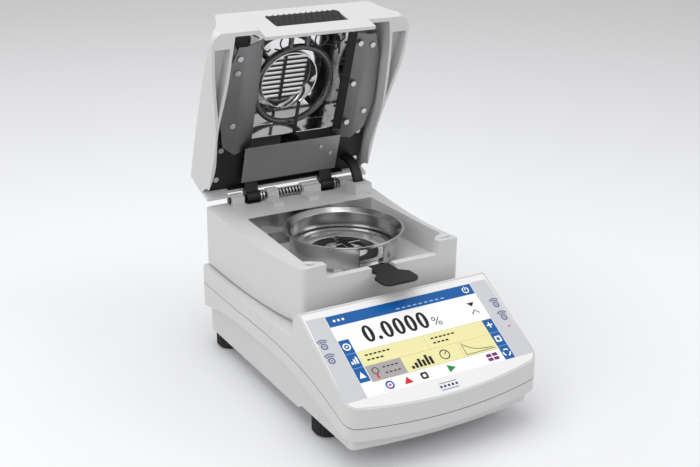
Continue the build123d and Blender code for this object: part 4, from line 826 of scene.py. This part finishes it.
class ANALYZER_OT_heater_wires(bpy.types.Operator):
    """Adds the loops of wire to the heater and its terminals"""

    bl_idname = "analyzer.heater_wires"
    bl_label = "Heater wires"

    def execute(self, context):
        parts = []
        for x, lean in ((-30, -8), (-25, 5), (-14, -6), (14, 6), (22, -5), (29, 8)):
            loop = in_lid([x, x + lean, x + 2 * lean, x + lean, x], [154, 157, 166, 174, 172],
                          [24, 16, 13, 17, 25])
            parts.append(tube(smooth_path(loop), 0.8 * MM))
        for side in (-1, 1):
            for k in range(3):
                run = in_lid(side * np.array([8, 20 + 3 * k, 36 + 2 * k, 46 + 2 * k]),
                             [172, 175 - k, 171 - 3 * k, 154 - 7 * k],
                             [30, 22 - 3 * k, 20 - 2 * k, 28 - k])
                parts.append(tube(smooth_path(run), 0.9 * MM))
        points, faces = join_meshes(parts)
        new_piece("heater_wires", points, faces, "dark_steel", "lid", smooth=True)
        return {"FINISHED"}


class ANALYZER_OT_screen(bpy.types.Operator):
    """Adds the glass and the picture of the touch screen"""

    bl_idname = "analyzer.screen"
    bl_label = "Screen"

    def execute(self, context):
        softened("touch_glass", 0.35, "display_glass")
        picture = Picture()
        draw_frame_bands(picture)
        draw_reading(picture)
        draw_panes(picture)
        draw_keys(picture)
        draw_maker_place(picture)
        piece = new_piece("screen_picture", picture.points, picture.faces, "screen",
                          BODY["touch_glass"])
        tint = piece.data.attributes.new("tint", "FLOAT_COLOR", "FACE")
        colours = np.array([(*t, 1.0) for t in picture.tints], np.float32)
        tint.data.foreach_set("color", colours.ravel())
        return {"FINISHED"}


class ANALYZER_OT_stage(bpy.types.Operator):
    """Makes the floor, the lamps, the world and the camera"""

    bl_idname = "analyzer.stage"
    bl_label = "Stage"

    FLOOR_RADIUS, FLOOR_SIDES, FLOOR_LEVEL = 9, 96, -0.0002
    LAMPS_AIM = (0, 0, 0.12)

    # The photograph's camera: its place in metres, its turn, rise and roll in degrees, and its
    # focal length in pixels of a picture PHOTO_WIDTH pixels wide
    CAMERA_PLACE = (-0.5403, -0.9073, 0.5454)
    CAMERA_TURNS = (-30.649, 20.681, 0.634)
    FOCAL_PIXELS, PHOTO_WIDTH = 1192.07, 700
    SENSOR_WIDTH = 36.0

    def execute(self, context):
        self.floor()
        self.lamps()
        self.world()
        self.camera()
        context.scene.view_settings.view_transform = "Standard"
        return {"FINISHED"}

    def floor(self):
        """A round sheet just under the feet: (r cos a, r sin a, FLOOR_LEVEL)."""
        r, count = self.FLOOR_RADIUS, self.FLOOR_SIDES
        a = np.linspace(0, 2 * math.pi, count, endpoint=False)
        points = np.stack([r * np.cos(a), r * np.sin(a), np.full(count, self.FLOOR_LEVEL)], -1)
        mesh = bpy.data.meshes.new("studio_floor")
        mesh.from_pydata([tuple(p) for p in points], [], [tuple(range(count))])
        mesh.materials.append(floor_finish("studio_paper").material)
        sheet = new_object("studio_floor", mesh)

    def lamps(self):
        """Softboxes above, at the left and at the right, each turned to the object."""
        power = sizes().lamp_power
        for name, place, size, watts in (
            ("top_softbox", (-0.3, 0.25, 1.9), 1.7, power),
            ("left_softbox", (-1.5, -0.5, 1.0), 1.1, power * 0.35),
            ("right_softbox", (1.3, -1.1, 1.2), 1.0, power * 0.38),
        ):
            lamp = bpy.data.lights.new(name, "AREA")
            lamp.energy = watts
            lamp.size = size
            holder = new_object(name, lamp)
            holder.location = place
            aim = Vector(self.LAMPS_AIM) - Vector(place)
            holder.rotation_euler = aim.to_track_quat("-Z", "Y").to_euler()

    def world(self):
        """An even pale surround, with a darker band low down that metal reflects."""
        world = bpy.data.worlds.new("studio")
        bpy.context.scene.world = world
        world.use_nodes = True
        tree = world.node_tree
        background = tree.nodes["Background"]
        place = tree.nodes.new("ShaderNodeTexCoord")
        split = tree.nodes.new("ShaderNodeSeparateXYZ")
        tree.links.new(place.outputs["Generated"], split.inputs[0])
        ramp = tree.nodes.new("ShaderNodeValToRGB")
        stops = [(0.0, 0.75), (0.45, 0.72), (0.52, 0.55), (0.7, 0.85), (1.0, 1.0)]
        while len(ramp.color_ramp.elements) < len(stops):
            ramp.color_ramp.elements.new(0.5)
        for element, (at, level) in zip(ramp.color_ramp.elements, stops):
            element.position = at
            element.color = (level, level, level * 1.01, 1)
        scale = tree.nodes.new("ShaderNodeMapRange")
        scale.inputs["From Min"].default_value = -1.0
        tree.links.new(split.outputs[2], scale.inputs["Value"])
        tree.links.new(scale.outputs[0], ramp.inputs[0])
        tree.links.new(ramp.outputs[0], background.inputs["Color"])
        background.inputs["Strength"].default_value = 0.66

    def camera(self):
        """The photograph's view: place, turn, rise and a slight roll."""
        turn, rise, roll = map(math.radians, self.CAMERA_TURNS)
        level = math.cos(rise)
        back = Vector((math.sin(turn) * level, -math.cos(turn) * level, math.sin(rise)))
        right = Vector((math.cos(turn), math.sin(turn), 0))
        up = back.cross(right)
        x = right * math.cos(roll) + up * math.sin(roll)
        y = up * math.cos(roll) - right * math.sin(roll)
        lens = bpy.data.cameras.new("photo_camera")
        lens.sensor_width = self.SENSOR_WIDTH
        lens.lens = self.FOCAL_PIXELS / self.PHOTO_WIDTH * self.SENSOR_WIDTH
        lens.clip_start, lens.clip_end = 0.01, 50
        holder = new_object("photo_camera", lens)
        axes = Matrix((x, y, back)).transposed().to_4x4()
        holder.matrix_world = Matrix.Translation(self.CAMERA_PLACE) @ axes
        bpy.context.scene.camera = holder


class ANALYZER_PT_panel(bpy.types.Panel):
    """Lists the steps that dress the analyzer"""

    bl_label = "Moisture analyzer"
    bl_idname = "ANALYZER_PT_panel"
    bl_space_type = "VIEW_3D"
    bl_region_type = "UI"
    bl_category = "Analyzer"

    def draw(self, context):
        for name in ("case_edge", "case_colour", "lamp_power"):
            self.layout.prop(context.scene.analyzer_sizes, name)
        for step in STEPS:
            self.layout.operator(step.bl_idname)


STEPS = (
    ANALYZER_OT_stage,
    ANALYZER_OT_case,
    ANALYZER_OT_chamber,
    ANALYZER_OT_lid,
    ANALYZER_OT_heater_wires,
    ANALYZER_OT_screen,
    ANALYZER_OT_inner,
)
CLASSES = (AnalyzerSizes, *STEPS, ANALYZER_PT_panel)


def register():
    for cls in CLASSES:
        bpy.utils.register_class(cls)
    bpy.types.Scene.analyzer_sizes = PointerProperty(type=AnalyzerSizes)


def unregister():
    del bpy.types.Scene.analyzer_sizes
    for cls in reversed(CLASSES):
        bpy.utils.unregister_class(cls)


def main():
    """Runs every step once."""
    register()
    make_finishes(sizes())
    for step in STEPS:
        group, name = step.bl_idname.split(".")
        getattr(getattr(bpy.ops, group), name)()


if __name__ == "__main__":
    main()
